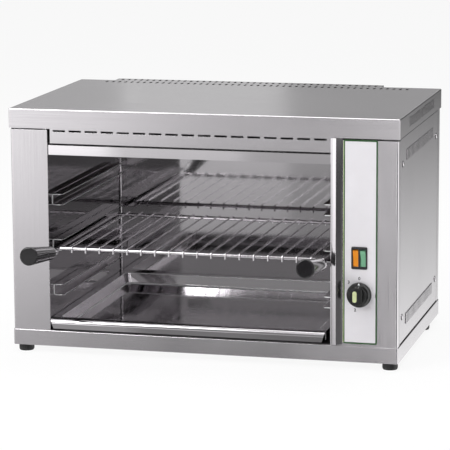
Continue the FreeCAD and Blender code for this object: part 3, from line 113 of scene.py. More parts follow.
class Bench:
    """One mesh that is shaped with the operators, as by hand."""

    finishes: dict[str, bpy.types.Material] = {}

    def __init__(self, piece: bpy.types.Object, name: str) -> None:
        """Take a new primitive and fix its place in its mesh."""
        self.piece = piece
        piece.name = name
        piece.data.name = name
        bpy.ops.object.transform_apply(location=True, rotation=True, scale=True)

    def close_object(self) -> "Bench":
        """Go back to object mode with only this piece selected."""
        clear_selection()
        self.piece.select_set(True)
        bpy.context.view_layer.objects.active = self.piece
        return self

    @classmethod
    def block(cls, name: str, low: Vector, high: Vector) -> "Bench":
        """Start from a block."""
        clear_selection()
        low, high = Vector(low), Vector(high)
        bpy.ops.mesh.primitive_cube_add(size=1, location=(low + high) / 2, scale=high - low)
        return cls(bpy.context.object, name)

    @classmethod
    def plate(cls, name: str, corner: Vector, along: Vector, across: Vector) -> "Bench":
        """Start from a flat plate.

        Args:
            name: The piece's name.
            corner: One corner of the plate.
            along: The edge from that corner one way.
            across: The edge from that corner the other way.

        Returns:
            The plate on the bench.
        """
        clear_selection()
        along, across = Vector(along), Vector(across)
        bpy.ops.mesh.primitive_plane_add(size=1)
        piece = bpy.context.object
        middle = Vector(corner) + (along + across) / 2
        turn = Matrix((along, across, along.cross(across).normalized())).transposed()
        piece.matrix_world = Matrix.Translation(middle) @ turn.to_4x4()
        return cls(piece, name)

    @classmethod
    def turned(cls, name: str, rings: Sequence[tuple[float, float]], centre: Vector,
               facing: Facing = Facing.UP, sides: int = 48) -> "Bench":
        """Raise a round piece ring by ring from a disc.

        Args:
            name: The piece's name.
            rings: Pairs of height and radius, from the first disc to the last.
            centre: The place of height zero on the axis.
            facing: The way that the axis points.
            sides: The number of sides of each ring.

        Returns:
            The piece on the bench.
        """
        clear_selection()
        height, radius = rings[0]
        bpy.ops.mesh.primitive_circle_add(vertices=sides, radius=radius, fill_type="NGON",
                                          location=(0, 0, height))
        piece = bpy.context.object
        bpy.ops.object.transform_apply(location=True)
        bpy.ops.object.mode_set(mode="EDIT")
        bpy.ops.mesh.select_all(action="SELECT")
        for (low, inner), (high, outer) in zip(rings, rings[1:]):
            bpy.ops.mesh.extrude_region_move(TRANSFORM_OT_translate={"value": (0, 0, high - low)})
            scale = outer / inner
            bpy.ops.transform.resize(value=(scale, scale, 1), center_override=(0, 0, high))
        bpy.ops.mesh.select_all(action="SELECT")
        bpy.ops.mesh.normals_make_consistent(inside=False)
        bpy.ops.object.mode_set(mode="OBJECT")
        piece.rotation_euler = facing.value
        piece.location = centre
        return cls(piece, name)

    @classmethod
    def copy_of(cls, node: str, name: str) -> "Bench":
        """Start from a clean copy of one node's mesh, with its flat faces whole again.

        Args:
            node: The node of the frame.
            name: The new piece's name.

        Returns:
            The copy on the bench.
        """
        clear_selection()
        piece = bpy.data.objects.new(name, frame["nodes"][node].data.copy())
        bpy.context.scene.collection.objects.link(piece)
        piece.select_set(True)
        bpy.context.view_layer.objects.active = piece
        bench = cls(piece, name)
        bench.edit("VERT")
        bpy.ops.mesh.select_all(action="SELECT")
        bpy.ops.mesh.remove_doubles(threshold=MERGE)
        bpy.ops.mesh.dissolve_limited(angle_limit=FLAT_ANGLE)
        bpy.ops.mesh.select_all(action="SELECT")
        bpy.ops.mesh.normals_make_consistent(inside=False)
        return bench

    def edit(self, mode: str) -> bmesh.types.BMesh:
        """Open the mesh for editing with nothing selected."""
        if bpy.context.mode == "OBJECT":
            self.close_object()
            bpy.ops.object.mode_set(mode="EDIT")
        bpy.ops.mesh.select_mode(type=mode)
        bpy.ops.mesh.select_all(action="DESELECT")
        return bmesh.from_edit_mesh(self.piece.data)

    def pick(self, mode: str, kind: str, test: Callable[[Part], bool]) -> "Bench":
        """Select the points, edges or faces that pass a test.

        Args:
            mode: VERT, EDGE or FACE.
            kind: The mesh's own name for these parts.
            test: Tells whether a part is wanted.

        Returns:
            The bench.
        """
        shape = self.edit(mode)
        for part in getattr(shape, kind):
            part.select_set(test(part))
        if mode == "VERT":
            shape.select_flush(True)
        bmesh.update_edit_mesh(self.piece.data)
        return self

    def pick_faces(self, test: FaceTest) -> "Bench":
        """Select faces by their middle and normal."""
        return self.pick("FACE", "faces",
                         lambda face: test(face.calc_center_median(), face.normal))

    def pick_edges(self, test: Test) -> "Bench":
        """Select edges by their middle."""
        return self.pick("EDGE", "edges", lambda edge: test(middle_of(edge)))

    def pick_straight(self, axis: int, test: Test) -> "Bench":
        """Select edges that run along one axis and whose middle passes a test."""
        return self.pick("EDGE", "edges",
                         lambda edge: runs_along(edge, axis) and test(middle_of(edge)))

    def pick_points(self, test: Test) -> "Bench":
        """Select points by their place."""
        return self.pick("VERT", "verts", lambda point: test(point.co))

    def extrude(self, move: Vector) -> "Bench":
        """Draw the selection out along a vector."""
        bpy.ops.mesh.extrude_region_move(TRANSFORM_OT_translate={"value": tuple(move)})
        return self

    def inset(self, width: float, depth: float = 0.0) -> "Bench":
        """Set a border inside the selected faces, sunk by a depth."""
        bpy.ops.mesh.inset(thickness=width, depth=-depth, use_boundary=True)
        return self

    def resize(self, factors: tuple[float, float, float], centre: Vector) -> "Bench":
        """Scale the selection about a point."""
        bpy.ops.transform.resize(value=factors, center_override=tuple(centre))
        return self

    def shift(self, move: Vector) -> "Bench":
        """Move the selection."""
        bpy.ops.transform.translate(value=tuple(move))
        return self

    def bevel(self, width: float, segments: int = 3) -> "Bench":
        """Round the selected edges."""
        bpy.ops.mesh.bevel(offset=width, offset_type="OFFSET", segments=segments, profile=0.5,
                           affect="EDGES", clamp_overlap=False)
        return self

    def slice(self, point: Vector, normal: Vector) -> "Bench":
        """Cut the whole mesh along a plane, keeping both sides."""
        self.edit("FACE")
        bpy.ops.mesh.select_all(action="SELECT")
        bpy.ops.mesh.bisect(plane_co=tuple(point), plane_no=tuple(normal))
        return self

    def drop(self) -> "Bench":
        """Delete the selected faces."""
        bpy.ops.mesh.delete(type="FACE")
        return self

    def modify(self, kind: str, **settings: object) -> "Bench":
        """Add a modifier and apply it."""
        self.close_object()
        modifier = self.piece.modifiers.new(kind.title(), kind)
        for name, value in settings.items():
            setattr(modifier, name, value)
        bpy.ops.object.modifier_apply(modifier=modifier.name)
        return self

    def thicken(self, sheet: float) -> "Bench":
        """Give a folded plate its thickness, inwards."""
        return self.modify("SOLIDIFY", thickness=sheet, offset=-1, use_even_offset=True)

    def soften(self, width: float) -> "Bench":
        """Round every sharp edge a little."""
        return self.modify("BEVEL", width=width, segments=2, limit_method="ANGLE",
                           angle_limit=SHARP_ANGLE, use_clamp_overlap=True)

    def subtract(self, tool: "Bench") -> "Bench":
        """Cut another piece's shape away and delete that piece."""
        self.modify("BOOLEAN", operation="DIFFERENCE", object=tool.piece, solver="EXACT")
        bpy.data.objects.remove(tool.piece)
        return self

    def merge(self, *others: "Bench") -> "Bench":
        """Join other pieces' meshes to this one."""
        self.close_object()
        for other in others:
            other.piece.select_set(True)
        bpy.ops.object.join()
        return self

    def turn(self, degrees: float, axis: Vector, centre: Vector) -> "Bench":
        """Turn the whole piece about a line."""
        there = Matrix.Translation(Vector(centre))
        turn = Matrix.Rotation(math.radians(degrees), 4, Vector(axis))
        self.piece.data.transform(there @ turn @ there.inverted())
        return self

    def tidy(self, angle: float = 35.0, outwards: bool = True) -> "Bench":
        """Merge doubled points, point the faces outwards and smooth all but sharp edges."""
        self.edit("VERT")
        bpy.ops.mesh.select_all(action="SELECT")
        bpy.ops.mesh.remove_doubles(threshold=MERGE)
        if outwards:
            bpy.ops.mesh.normals_make_consistent(inside=False)
        self.close_object()
        bpy.ops.object.shade_smooth_by_angle(angle=math.radians(angle))
        return self.modify("WEIGHTED_NORMAL", weight=100, keep_sharp=True)

    def dress(self, finish: str) -> "Bench":
        """Put one finish on the piece."""
        self.piece.data.materials.clear()
        self.piece.data.materials.append(self.finishes[finish])
        return self

    def dress_faces(self, finish: str, test: FaceTest) -> "Bench":
        """Put another finish on the faces that pass a test."""
        self.close_object()
        mesh = self.piece.data
        mesh.materials.append(self.finishes[finish])
        for face in mesh.polygons:
            if test(face.center, face.normal):
                face.material_index = len(mesh.materials) - 1
        return self

    def hand_in(self, body: str, slot: str, *nodes: str) -> bpy.types.Object:
        """Let the piece ride on its body and stand for its nodes.

        Args:
            body: The body that carries the piece.
            slot: The record's material slot; not used.
            nodes: The nodes that the piece stands for.

        Returns:
            The finished object.
        """
        clear_selection()
        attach(self.piece, body)
        if nodes:
            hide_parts(*nodes)
        log.info("%s: %d faces, on %s", self.piece.name, len(self.piece.data.polygons), body)
        return self.piece


class NodeBoard:
    """The node tree of one material, with short calls for the nodes that the finishes share."""

    def __init__(self, name: str) -> None:
        """Start a material with its surface shader."""
        self.material = bpy.data.materials.new(name)
        self.material.use_nodes = True
        self.tree = self.material.node_tree
        self.shader = self.tree.nodes["Principled BSDF"]
        coordinates = self.tree.nodes.new("ShaderNodeTexCoord").outputs
        self.place, self.spot = coordinates["Object"], coordinates["UV"]

    def link(self, source: bpy.types.NodeSocket, target: bpy.types.NodeSocket) -> None:
        """Join two sockets."""
        self.tree.links.new(source, target)

    def scaled(self, scale: Sequence[float]) -> bpy.types.NodeSocket:
        """Stretch the object's coordinates."""
        mapping = self.tree.nodes.new("ShaderNodeMapping")
        mapping.inputs["Scale"].default_value = tuple(scale)
        self.link(self.place, mapping.inputs["Vector"])
        return mapping.outputs["Vector"]

    def noise(self, scale: Sequence[float], detail: float = 2.0) -> bpy.types.NodeSocket:
        """Make noise, as fine along each axis as its scale says.

        Args:
            scale: Waves per metre along X, Y and Z.
            detail: Octaves of finer noise.

        Returns:
            The noise, from zero to one.
        """
        noise = self.tree.nodes.new("ShaderNodeTexNoise")
        noise.inputs["Scale"].default_value = 1.0
        noise.inputs["Detail"].default_value = detail
        self.link(self.scaled(scale), noise.inputs["Vector"])
        return noise.outputs["Fac"]

    def spread(self, source: bpy.types.NodeSocket, low: float, high: float,
               start: float = 0.3, end: float = 0.7) -> bpy.types.NodeSocket:
        """Map a value from one span to another.

        Args:
            source: The value.
            low: The result at the start.
            high: The result at the end.
            start: The value where the span starts.
            end: The value where it ends.

        Returns:
            The mapped value.
        """
        node = self.tree.nodes.new("ShaderNodeMapRange")
        for socket, value in zip(node.inputs[1:5], (start, end, low, high)):
            socket.default_value = value
        self.link(source, node.inputs["Value"])
        return node.outputs["Result"]

    def blend(self, share: bpy.types.NodeSocket, first: Sequence[float],
              second: Sequence[float]) -> bpy.types.NodeSocket:
        """Blend two colours by a value."""
        node = self.tree.nodes.new("ShaderNodeMix")
        node.data_type = "RGBA"
        self.link(share, node.inputs["Factor"])
        node.inputs["A"].default_value = (*first, 1)
        node.inputs["B"].default_value = (*second, 1)
        return node.outputs["Result"]

    def add(self, *sources: bpy.types.NodeSocket) -> bpy.types.NodeSocket:
        """Add values up."""
        total = sources[0]
        for source in sources[1:]:
            node = self.tree.nodes.new("ShaderNodeMath")
            self.link(total, node.inputs[0])
            self.link(source, node.inputs[1])
            total = node.outputs["Value"]
        return total

    def bump(self, height: bpy.types.NodeSocket, depth: float) -> None:
        """Let a value raise the surface by a depth in metres."""
        node = self.tree.nodes.new("ShaderNodeBump")
        node.inputs["Distance"].default_value = depth
        node.inputs["Strength"].default_value = 1.0
        self.link(height, node.inputs["Height"])
        self.link(node.outputs["Normal"], self.shader.inputs["Normal"])

    def plain(self, **values: object) -> None:
        """Set numbers on the shader's own sockets."""
        for name, value in values.items():
            self.shader.inputs[name.replace("_", " ")].default_value = value


@dataclass(frozen=True)
class SteelFinish:
    """Sheet steel: brushed along a grain, or bright and mirror-like."""

    name: str
    tone: float
    roughness: float
    grain: Grain
    grain_depth: float = 0.9e-6
    grain_gloss: float = 0.05
    smear: float = 0.04
    stain: float = 0.03
    tint: float = 0.965

    def make(self) -> bpy.types.Material:
        """Make the material.

        Returns:
            A metal with grain, hand smears and slow waves of the sheet.
        """
        board = NodeBoard(self.name)
        board.plain(Metallic=1.0)
        hair = board.noise(self.grain.value, 3.0)
        smear = board.noise((7.0, 7.0, 7.0), 4.0)
        fine = board.spread(hair, -self.grain_gloss, self.grain_gloss)
        slow = board.spread(smear, self.roughness - self.smear, self.roughness + self.smear)
        board.link(board.add(fine, slow), board.shader.inputs["Roughness"])
        dull = self.tone * (1 - self.stain)
        colour = board.blend(board.spread(smear, 0, 1), (dull, dull * self.tint, dull),
                             (self.tone, self.tone * self.tint, self.tone))
        board.link(colour, board.shader.inputs["Base Color"])
        board.bump(hair, self.grain_depth)
        return board.material


@dataclass(frozen=True)
class HeatTintFinish:
    """The dull sheath of a heating element, tinted by heat."""

    name: str = "element_sheath"
    cool: tuple[float, float, float] = (0.30, 0.29, 0.29)
    hot: tuple[float, float, float] = (0.24, 0.19, 0.14)

    def make(self) -> bpy.types.Material:
        """Make the material."""
        board = NodeBoard(self.name)
        board.plain(Metallic=0.9)
        patches = board.noise((30.0, 30.0, 30.0), 4.0)
        board.link(board.blend(board.spread(patches, 0, 1), self.cool, self.hot),
                   board.shader.inputs["Base Color"])
        board.link(board.spread(patches, 0.34, 0.52), board.shader.inputs["Roughness"])
        board.bump(board.noise((900.0, 900.0, 900.0)), 4e-6)
        return board.material


@dataclass(frozen=True)
class MouldedFinish:
    """Moulded plastic, rubber, ceramic or paint with a fine skin."""

    name: str
    colour: tuple[float, float, float]
    roughness: float
    skin: float = 400.0
    skin_depth: float = 4e-6
    shade: float = 0.12
    coat: float = 0.0
    glow: float = 0.0

    def make(self) -> bpy.types.Material:
        """Make the material.

        Returns:
            A plastic whose colour and gloss vary a little over its skin.
        """
        board = NodeBoard(self.name)
        board.plain(Coat_Weight=self.coat, Coat_Roughness=0.06)
        if self.glow:
            board.plain(Emission_Color=(*self.colour, 1), Emission_Strength=self.glow)
        skin = board.noise((self.skin,) * 3, 3.0)
        slow = board.noise((60.0, 60.0, 60.0), 3.0)
        dark = tuple(value * (1 - self.shade) for value in self.colour)
        board.link(board.blend(board.spread(slow, 0, 1), dark, self.colour),
                   board.shader.inputs["Base Color"])
        rough = board.add(board.spread(skin, -0.03, 0.03),
                          board.spread(slow, self.roughness - 0.03, self.roughness + 0.03))
        board.link(rough, board.shader.inputs["Roughness"])
        board.bump(skin, self.skin_depth)
        return board.material


RECIPES = (
    SteelFinish("steel_along_x", 0.53, 0.19, Grain.ALONG_X, 0.5e-6, 0.03, 0.02),
    SteelFinish("steel_along_z", 0.53, 0.19, Grain.ALONG_Z, 0.5e-6, 0.03, 0.02),
    SteelFinish("bright_wall", 0.50, 0.06, Grain.ALONG_Z, 0.4e-6, 0.02, 0.02, 0.06),
    SteelFinish("bright_tray", 0.58, 0.07, Grain.ALONG_X, 0.4e-6, 0.02, 0.02, 0.06),
    # the basin's side walls: rougher as drawn steel is, with painted light in a much lighter tone
    SteelFinish("drawn_steel_painted_light", 0.95, 0.30, Grain.EVEN, 0.8e-6, 0.04, 0.03, 0.06),
    # painted reflection: a dark copy of the post's steel for its right flank, standing in for the
    # dark room it reflects
    SteelFinish("post_painted_dark_reflection", 0.30, 0.12, Grain.ALONG_Z, 0.4e-6, 0.02, 0.02, 0.03),
    SteelFinish("bright_guide", 0.62, 0.10, Grain.ALONG_Y, 0.4e-6, 0.03, 0.03, 0.05),
    SteelFinish("bright_post", 0.66, 0.10, Grain.ALONG_Z, 0.4e-6, 0.02, 0.02, 0.03),
    SteelFinish("chrome_wire", 0.74, 0.07, Grain.EVEN, 1.0e-6, 0.02, 0.02, 0.03),
    SteelFinish("zinc_screw", 0.80, 0.25, Grain.EVEN, 2.0e-6, 0.05, 0.04, 0.10),
    SteelFinish("inner_steel", 0.30, 0.42, Grain.EVEN, 3.0e-6, 0.05, 0.05, 0.20),
    # painted highlight: a pale, slightly glowing non-metal for the bright lines on the tray's
    # rounded folds
    MouldedFinish("fold_painted_highlight", (0.86, 0.85, 0.87), 0.30, 900.0, 2e-6, 0.05, 0.0, 0.10),
    # cut edges, rougher as sheared steel is, with a painted highlight: a pale non-metal colour for
    # the light that the edges catch
    MouldedFinish("cut_edge_painted_highlight", (0.80, 0.80, 0.81), 0.40, 900.0, 2e-6, 0.1),
    # painted shade: a dark copy of the steel for faces that lie in shade, inside the cover and the
    # rear box, on the chamber floor and on the uprights
    SteelFinish("painted_shade_steel", 0.10, 0.45, Grain.EVEN, 3.0e-6, 0.05, 0.05, 0.20),
    HeatTintFinish(),
    MouldedFinish("grip_plastic", (0.004, 0.003, 0.0045), 0.10),
    MouldedFinish("knob_plastic", (0.010, 0.010, 0.010), 0.16),
    MouldedFinish("switch_plastic", (0.012, 0.012, 0.014), 0.30, 700.0),
    MouldedFinish("foot_rubber", (0.009, 0.009, 0.010), 0.55, 900.0, 1.2e-5),
    MouldedFinish("label_face", (0.74, 0.72, 0.75), 0.32, 900.0, 1.5e-6, 0.02),
    # painted reflection: a pale green strip along the label's left edge, standing in for the
    # border's reflection in the polished strip beside it
    MouldedFinish("label_edge_painted_reflection", (0.45, 0.55, 0.22), 0.35, 900.0, 1.5e-6, 0.10),
    MouldedFinish("label_border", (0.012, 0.075, 0.012), 0.35, 900.0, 1.5e-6, 0.15),
    MouldedFinish("label_ink", (0.02, 0.02, 0.022), 0.45, 900.0, 1.5e-6, 0.1),
    MouldedFinish("orange_lens", (0.80, 0.27, 0.015), 0.12, 500.0, 2e-6, 0.1, 0.5, 0.12),
    MouldedFinish("green_lens", (0.19, 0.44, 0.27), 0.12, 500.0, 2e-6, 0.1, 0.5, 0.05),
    MouldedFinish("knob_inlay", (0.72, 0.78, 0.42), 0.28, 500.0, 2e-6, 0.06),
    # painted glow: the white mark gives off light of its own, though it holds no lamp
    MouldedFinish("knob_mark_painted_glow", (0.90, 0.90, 0.90), 0.40, 500.0, 2e-6, 0.05, 0.0, 0.35),
    MouldedFinish("ceramic", (0.80, 0.79, 0.74), 0.60, 500.0, 1e-5, 0.05),
)

NODE_FINISHES = {
    "back_panel_left": "steel_along_z", "back_panel_right": "steel_along_z",
    # painted shade: the chamber floor and the uprights below get the dark painted-shade steel
    "chamber_floor": "painted_shade_steel",
    "chamber_right_wall": "bright_wall", "rack_frame": "chrome_wire", "rack_wires": "chrome_wire",
    "heating_element_front": "element_sheath", "heating_element_middle": "element_sheath",
    "heating_element_rear": "element_sheath", "rotary_selector": "switch_plastic",
    "selector_shaft": "zinc_screw", "rocker_pin": "zinc_screw", "foot_screws": "zinc_screw",
    "foot_nuts": "zinc_screw", "terminal_block": "ceramic", "cable_gland": "switch_plastic",
    "rear_box_screws": "zinc_screw",
    **{f"upright_{end}_{side}": "painted_shade_steel"
       for end in ("front", "rear") for side in ("left", "right")},
    **{f"foot_{end}_{side}": "foot_rubber"
       for end in ("front", "rear") for side in ("left", "right")},
}


def dress_nodes(nodes: dict[str, bpy.types.Object]) -> None:
    """Give every node of the frame its finish."""
    for name, node in nodes.items():
        for slot in node.material_slots:
            slot.material = Bench.finishes[NODE_FINISHES.get(name, "inner_steel")]


def rocker_opening(room: Vector, depth: float) -> Bench:
    """Make the block that cuts the rockers' opening."""
    low, high = box_of("rocker_orange", "rocker_green")
    low, high = low - room, high + room
    high.y = max(high.y, depth)
    return Bench.block("rocker_opening", low, high)


class Maker(ABC):
    """Something that shapes pieces of the object."""

    @abstractmethod
    def build(self) -> None:
        """Shape the pieces and hand them in."""


@dataclass(frozen=True)
class SoftSheet(Maker):
    """A sheet part whose shape is the node's own, with its cut edges and folds rounded."""

    node: str
    finish: str
    slot: str = "brushed_stainless"
    edge: float = 0.35 * MM
    body: str = "body"
    paints_shade_inside: bool = False
    front_fold: float = 2.0 * MM

    def build(self) -> None:
        """Round the edges of a copy of the node, and paint shade on its inner faces where asked.
        """
        piece = Bench.copy_of(self.node, f"{self.node}_soft")
        piece.soften(self.edge).tidy(outwards=False).dress(self.finish)
        if self.paints_shade_inside:
            low, high = box_of(self.node)
            middle = (low + high) / 2
            # painted shade on the faces that look inwards, behind the front fold
            piece.dress_faces("painted_shade_steel", lambda place, normal: (
                (place - middle).dot(normal) < 0 and place.y > low.y + self.front_fold))
        piece.hand_in(self.body, self.slot, self.node)


class Shell(Maker):
    """The sheet parts that keep their nodes' shapes and get rounded edges."""

    SHEETS = (
        SoftSheet("top_cover", "steel_along_x", paints_shade_inside=True),
        SoftSheet("rear_box", "steel_along_z", paints_shade_inside=True),
        SoftSheet("left_column", "steel_along_z"), SoftSheet("upper_fascia", "steel_along_x"),
        SoftSheet("heat_reflector", "bright_tray", "mirror_stainless"),
        SoftSheet("left_side_panel", "steel_along_z", edge=0.3 * MM),
        SoftSheet("right_side_panel", "steel_along_z", edge=0.3 * MM),
        SoftSheet("chamber_left_wall", "bright_wall", "mirror_stainless", 0.45 * MM),
    )

    def build(self) -> None:
        """Build every sheet part."""
        for sheet in self.SHEETS:
            sheet.build()


@dataclass
class BasePan(Maker):
    """The base: a pan whose top edge is folded in all round."""

    sheet: float = 1.0 * MM
    corner: float = 3.0 * MM
    fold: float = 1.1 * MM
    flange: float = 14.0 * MM

    def build(self) -> None:
        """Fold the pan."""
        low, high = box_of("base_pan")
        pan = Bench.block("base_pan_folded", low, high)
        pan.pick_straight(2, lambda place: True).bevel(self.corner, 5)
        pan.pick_edges(lambda place: place.z > high.z - NEAR).bevel(self.fold, 5)
        pan.pick_edges(lambda place: place.z < low.z + NEAR).bevel(self.fold / 2, 3)
        pan.pick_faces(lambda place, normal: normal.z > FACING_LIMIT and place.z > high.z - NEAR)
        pan.inset(self.flange)
        middle = (low + high) / 2
        pan.pick_faces(lambda place, normal: (normal.z > FACING_LIMIT
                                              and (place - middle).xy.length < MIDDLE_REACH))
        pan.drop()
        pan.thicken(self.sheet).tidy().dress("steel_along_x")
        pan.hand_in("body", "brushed_stainless", "base_pan")


@dataclass
class ControlFascia(Maker):
    """The upright sheet behind the control label, folded back at its right and along its top."""

    sheet: float = 1.0 * MM
    corner: float = 3.0 * MM
    fold: float = 1.4 * MM
    rocker_room: float = 2.0 * MM
    rocker_side: float = 1.0 * MM

    def build(self) -> None:
        """Fold the sheet."""
        low, high = box_of("control_fascia")
        fascia = Bench.block("control_fascia_folded", low, high)
        fascia.pick_faces(lambda place, normal: (
            max(normal.y, -normal.x, -normal.z) > FACING_LIMIT)).drop()
        fascia.pick_straight(2, lambda place: place.x > high.x - MM and place.y < low.y + MM)
        fascia.bevel(self.corner, 6)
        fascia.pick_edges(lambda place: place.z > high.z - NEAR and place.y < high.y - NEAR
                          and place.x > low.x + NEAR)
        fascia.bevel(self.fold, 4)
        fascia.thicken(self.sheet)
        fascia.subtract(rocker_opening(Vector((self.rocker_side, MM, self.rocker_room)), low.y))
        fascia.tidy().dress("steel_along_z")
        fascia.hand_in("body", "brushed_stainless", "control_fascia")


@dataclass
class DripTray(Maker):
    """The drip tray: a shallow basin, flat rims and a rounded front rim over a slanted apron."""

    sheet: float = 1.0 * MM
    rim: float = 14.0 * MM
    front_rim: float = 17.4 * MM
    draft: float = 3.6 * MM
    corner: float = 8.0 * MM
    bottom_fold: float = 2.5 * MM
    rim_fold: float = 1.2 * MM
    front_fold: float = 9.5 * MM
    apron: float = 17.0 * MM
    apron_inset: float = 5.5 * MM
    apron_lean: float = 1.1 * MM
    side_drop: float = 14.0 * MM
    wall_rise: float = 0.5
    side_facing: float = 0.7
    fold_rise: tuple[float, float] = (0.4, 0.95)
    mouth_share: float = 0.6
    floor_clear: float = 0.3 * MM

    def build(self) -> None:
        """Press the basin and fold the rims."""
        low, high = box_of("drip_tray")
        left, right, back = low.x + self.rim, high.x - self.rim, high.y - self.rim
        front = low.y + self.front_rim
        width, depth = Vector((high.x - low.x, 0, 0)), Vector((0, high.y - low.y, 0))
        tray = Bench.plate("drip_tray_pressed", (low.x, low.y, high.z), width, depth)
        for place, normal in (((left, 0, 0), (1, 0, 0)), ((right, 0, 0), (1, 0, 0)),
                              ((0, front, 0), (0, 1, 0)), ((0, back, 0), (0, 1, 0))):
            tray.slice(place, normal)
        middle = Vector(((left + right) / 2, (front + back) / 2, high.z))
        tray.pick_faces(lambda place, normal: (place - middle).xy.length < MIDDLE_REACH)
        floor = low.z + self.sheet
        tray.extrude((0, 0, floor - high.z))
        factors = (1 - 2 * self.draft / (right - left), 1 - 2 * self.draft / (back - front), 1)
        tray.resize(factors, (middle.x, middle.y, floor))
        tray.pick_edges(lambda place: floor + MM < place.z < high.z - MM).bevel(self.corner, 8)
        tray.pick_edges(lambda place: place.z < floor + NEAR).bevel(self.bottom_fold, 4)
        tray.pick_edges(lambda place: (place.z > high.z - NEAR
                                       and self.borders(place, left, right, front, back)))
        tray.bevel(self.rim_fold, 3)
        self.fold_apron(tray, low, high)
        for side in (low.x, high.x):
            self.fold_side(tray, side, low.y + self.front_fold, high.z)
        tray.thicken(self.sheet).tidy().dress("bright_tray")
        self.dress_basin(tray, middle, (right - left) / 2, floor, high.z)
        tray.hand_in("tray", "mirror_stainless", "drip_tray")

    def dress_basin(self, tray: Bench, middle: Vector, half: float, floor: float,
                    top: float) -> None:
        """Give the basin's side walls a rougher finish with painted light, and paint glowing
        highlights on its folds.

        Args:
            tray: The tray on the bench.
            middle: The middle of the basin's mouth.
            half: Half of its width.
            floor: The height of its floor.
            top: The height of the rims.
        """
        behind = box_of("drip_tray")[0].y + self.front_rim - MM
        bottom, brink = floor + self.bottom_fold, top - self.rim_fold - self.sheet
        gentle, steep = self.fold_rise
        # painted light on the side walls, in the lighter, rougher steel
        tray.dress_faces("drawn_steel_painted_light", lambda place, normal: (
            bottom < place.z < brink and place.y > behind and abs(place.x - middle.x) < half
            and abs(normal.z) < self.wall_rise and abs(normal.x) > self.side_facing))
        # painted highlight with a faint glow on the rim and bottom folds
        tray.dress_faces("fold_painted_highlight", lambda place, normal: (
            gentle < abs(normal.z) < steep and place.y > behind
            and abs(place.x - middle.x) < half + MM and place.z > floor + self.floor_clear))

    def borders(self, place: Vector, left: float, right: float, front: float, back: float) -> bool:
        """Tell whether a place lies on the basin's mouth."""
        near = min(place.x - left, right - place.x, place.y - front, back - place.y)
        return -MM < near < self.corner * self.mouth_share

    def fold_apron(self, tray: Bench, low: Vector, high: Vector) -> None:
        """Draw the front edge down into the receding apron and round the fold broadly."""
        brow = low.y + NEAR
        bottom = high.z - self.apron
        tray.pick_edges(lambda place: place.y < brow)
        tray.extrude((0, self.apron_lean, -self.apron))
        share = 1 - 2 * self.apron_inset / (high.x - low.x)
        tray.resize((share, 1, 1), ((low.x + high.x) / 2, low.y, bottom))
        tray.pick_straight(0, lambda place: place.y < brow and place.z > high.z - NEAR)
        tray.bevel(self.front_fold, 10)

    def fold_side(self, tray: Bench, side: float, behind: float, top: float) -> None:
        """Draw one side's edge down and round its fold."""
        def on_fold(place: Vector) -> bool:
            return abs(place.x - side) < NEAR and place.z > top - NEAR and place.y > behind

        tray.pick_straight(1, on_fold).extrude((0, 0, -self.side_drop))
        tray.pick_straight(1, on_fold).bevel(self.rim_fold, 3)


@dataclass
class ChamberLiner(Maker):
    """The polished back wall, drawn as one pan whose upright corners are rounded."""

    sheet: float = 1.0 * MM
    corner: float = 4.0 * MM
    edge: float = 0.4 * MM

    def build(self) -> None:
        """Fold the back wall."""
        low, high = box_of("chamber_back_wall")
        wall = Bench.block("chamber_back_liner", low, high)
        wall.pick_faces(lambda place, normal: (
            max(-normal.y, abs(normal.z)) > FACING_LIMIT)).drop()
        wall.pick_straight(2, lambda place: place.y > high.y - self.sheet).bevel(self.corner, 6)
        wall.thicken(self.sheet).soften(self.edge).tidy().dress("bright_wall")
        wall.hand_in("body", "mirror_stainless", "chamber_back_wall")


@dataclass
class RackGuides(Maker):
    """Three pairs of folded channels that carry the rack."""

    sheet: float = 1.2 * MM
    fold: float = 2.0 * MM
    corner: float = 5.0 * MM
    edge: float = 0.4 * MM

    def build(self) -> None:
        """Fold the six channels."""
        for side, inward in (("left", 1), ("right", -1)):
            for level in ("low", "middle", "high"):
                self.fold_channel(f"guide_{side}_{level}", inward)

    def fold_channel(self, node: str, inward: int) -> None:
        """Fold one channel, open towards the chamber.

        Args:
            node: The node that it stands for.
            inward: 1 where it opens to the right, -1 to the left.
        """
        low, high = box_of(node)
        web = low.x if inward > 0 else high.x
        tip = high.x if inward > 0 else low.x
        channel = Bench.block(f"{node}_channel", low, high)
        channel.pick_faces(lambda place, normal: (
            max(normal.x * inward, abs(normal.y)) > FACING_LIMIT)).drop()
        channel.pick_straight(1, lambda place: abs(place.x - web) < self.sheet).bevel(self.fold, 4)
        channel.pick_points(lambda place: abs(place.x - tip) < self.sheet and place.y < low.y + MM)
        bpy.ops.mesh.bevel(offset=self.corner, segments=5, affect="VERTICES")
        channel.thicken(self.sheet).soften(self.edge).tidy().dress("bright_guide")
        # painted highlight on the flange tips and front ends, as rough pale cut edges
        channel.dress_faces("cut_edge_painted_highlight", lambda place, normal: (
            abs(place.x - tip) < self.edge or place.y < low.y + self.edge))
        channel.hand_in("body", "mirror_stainless", node)


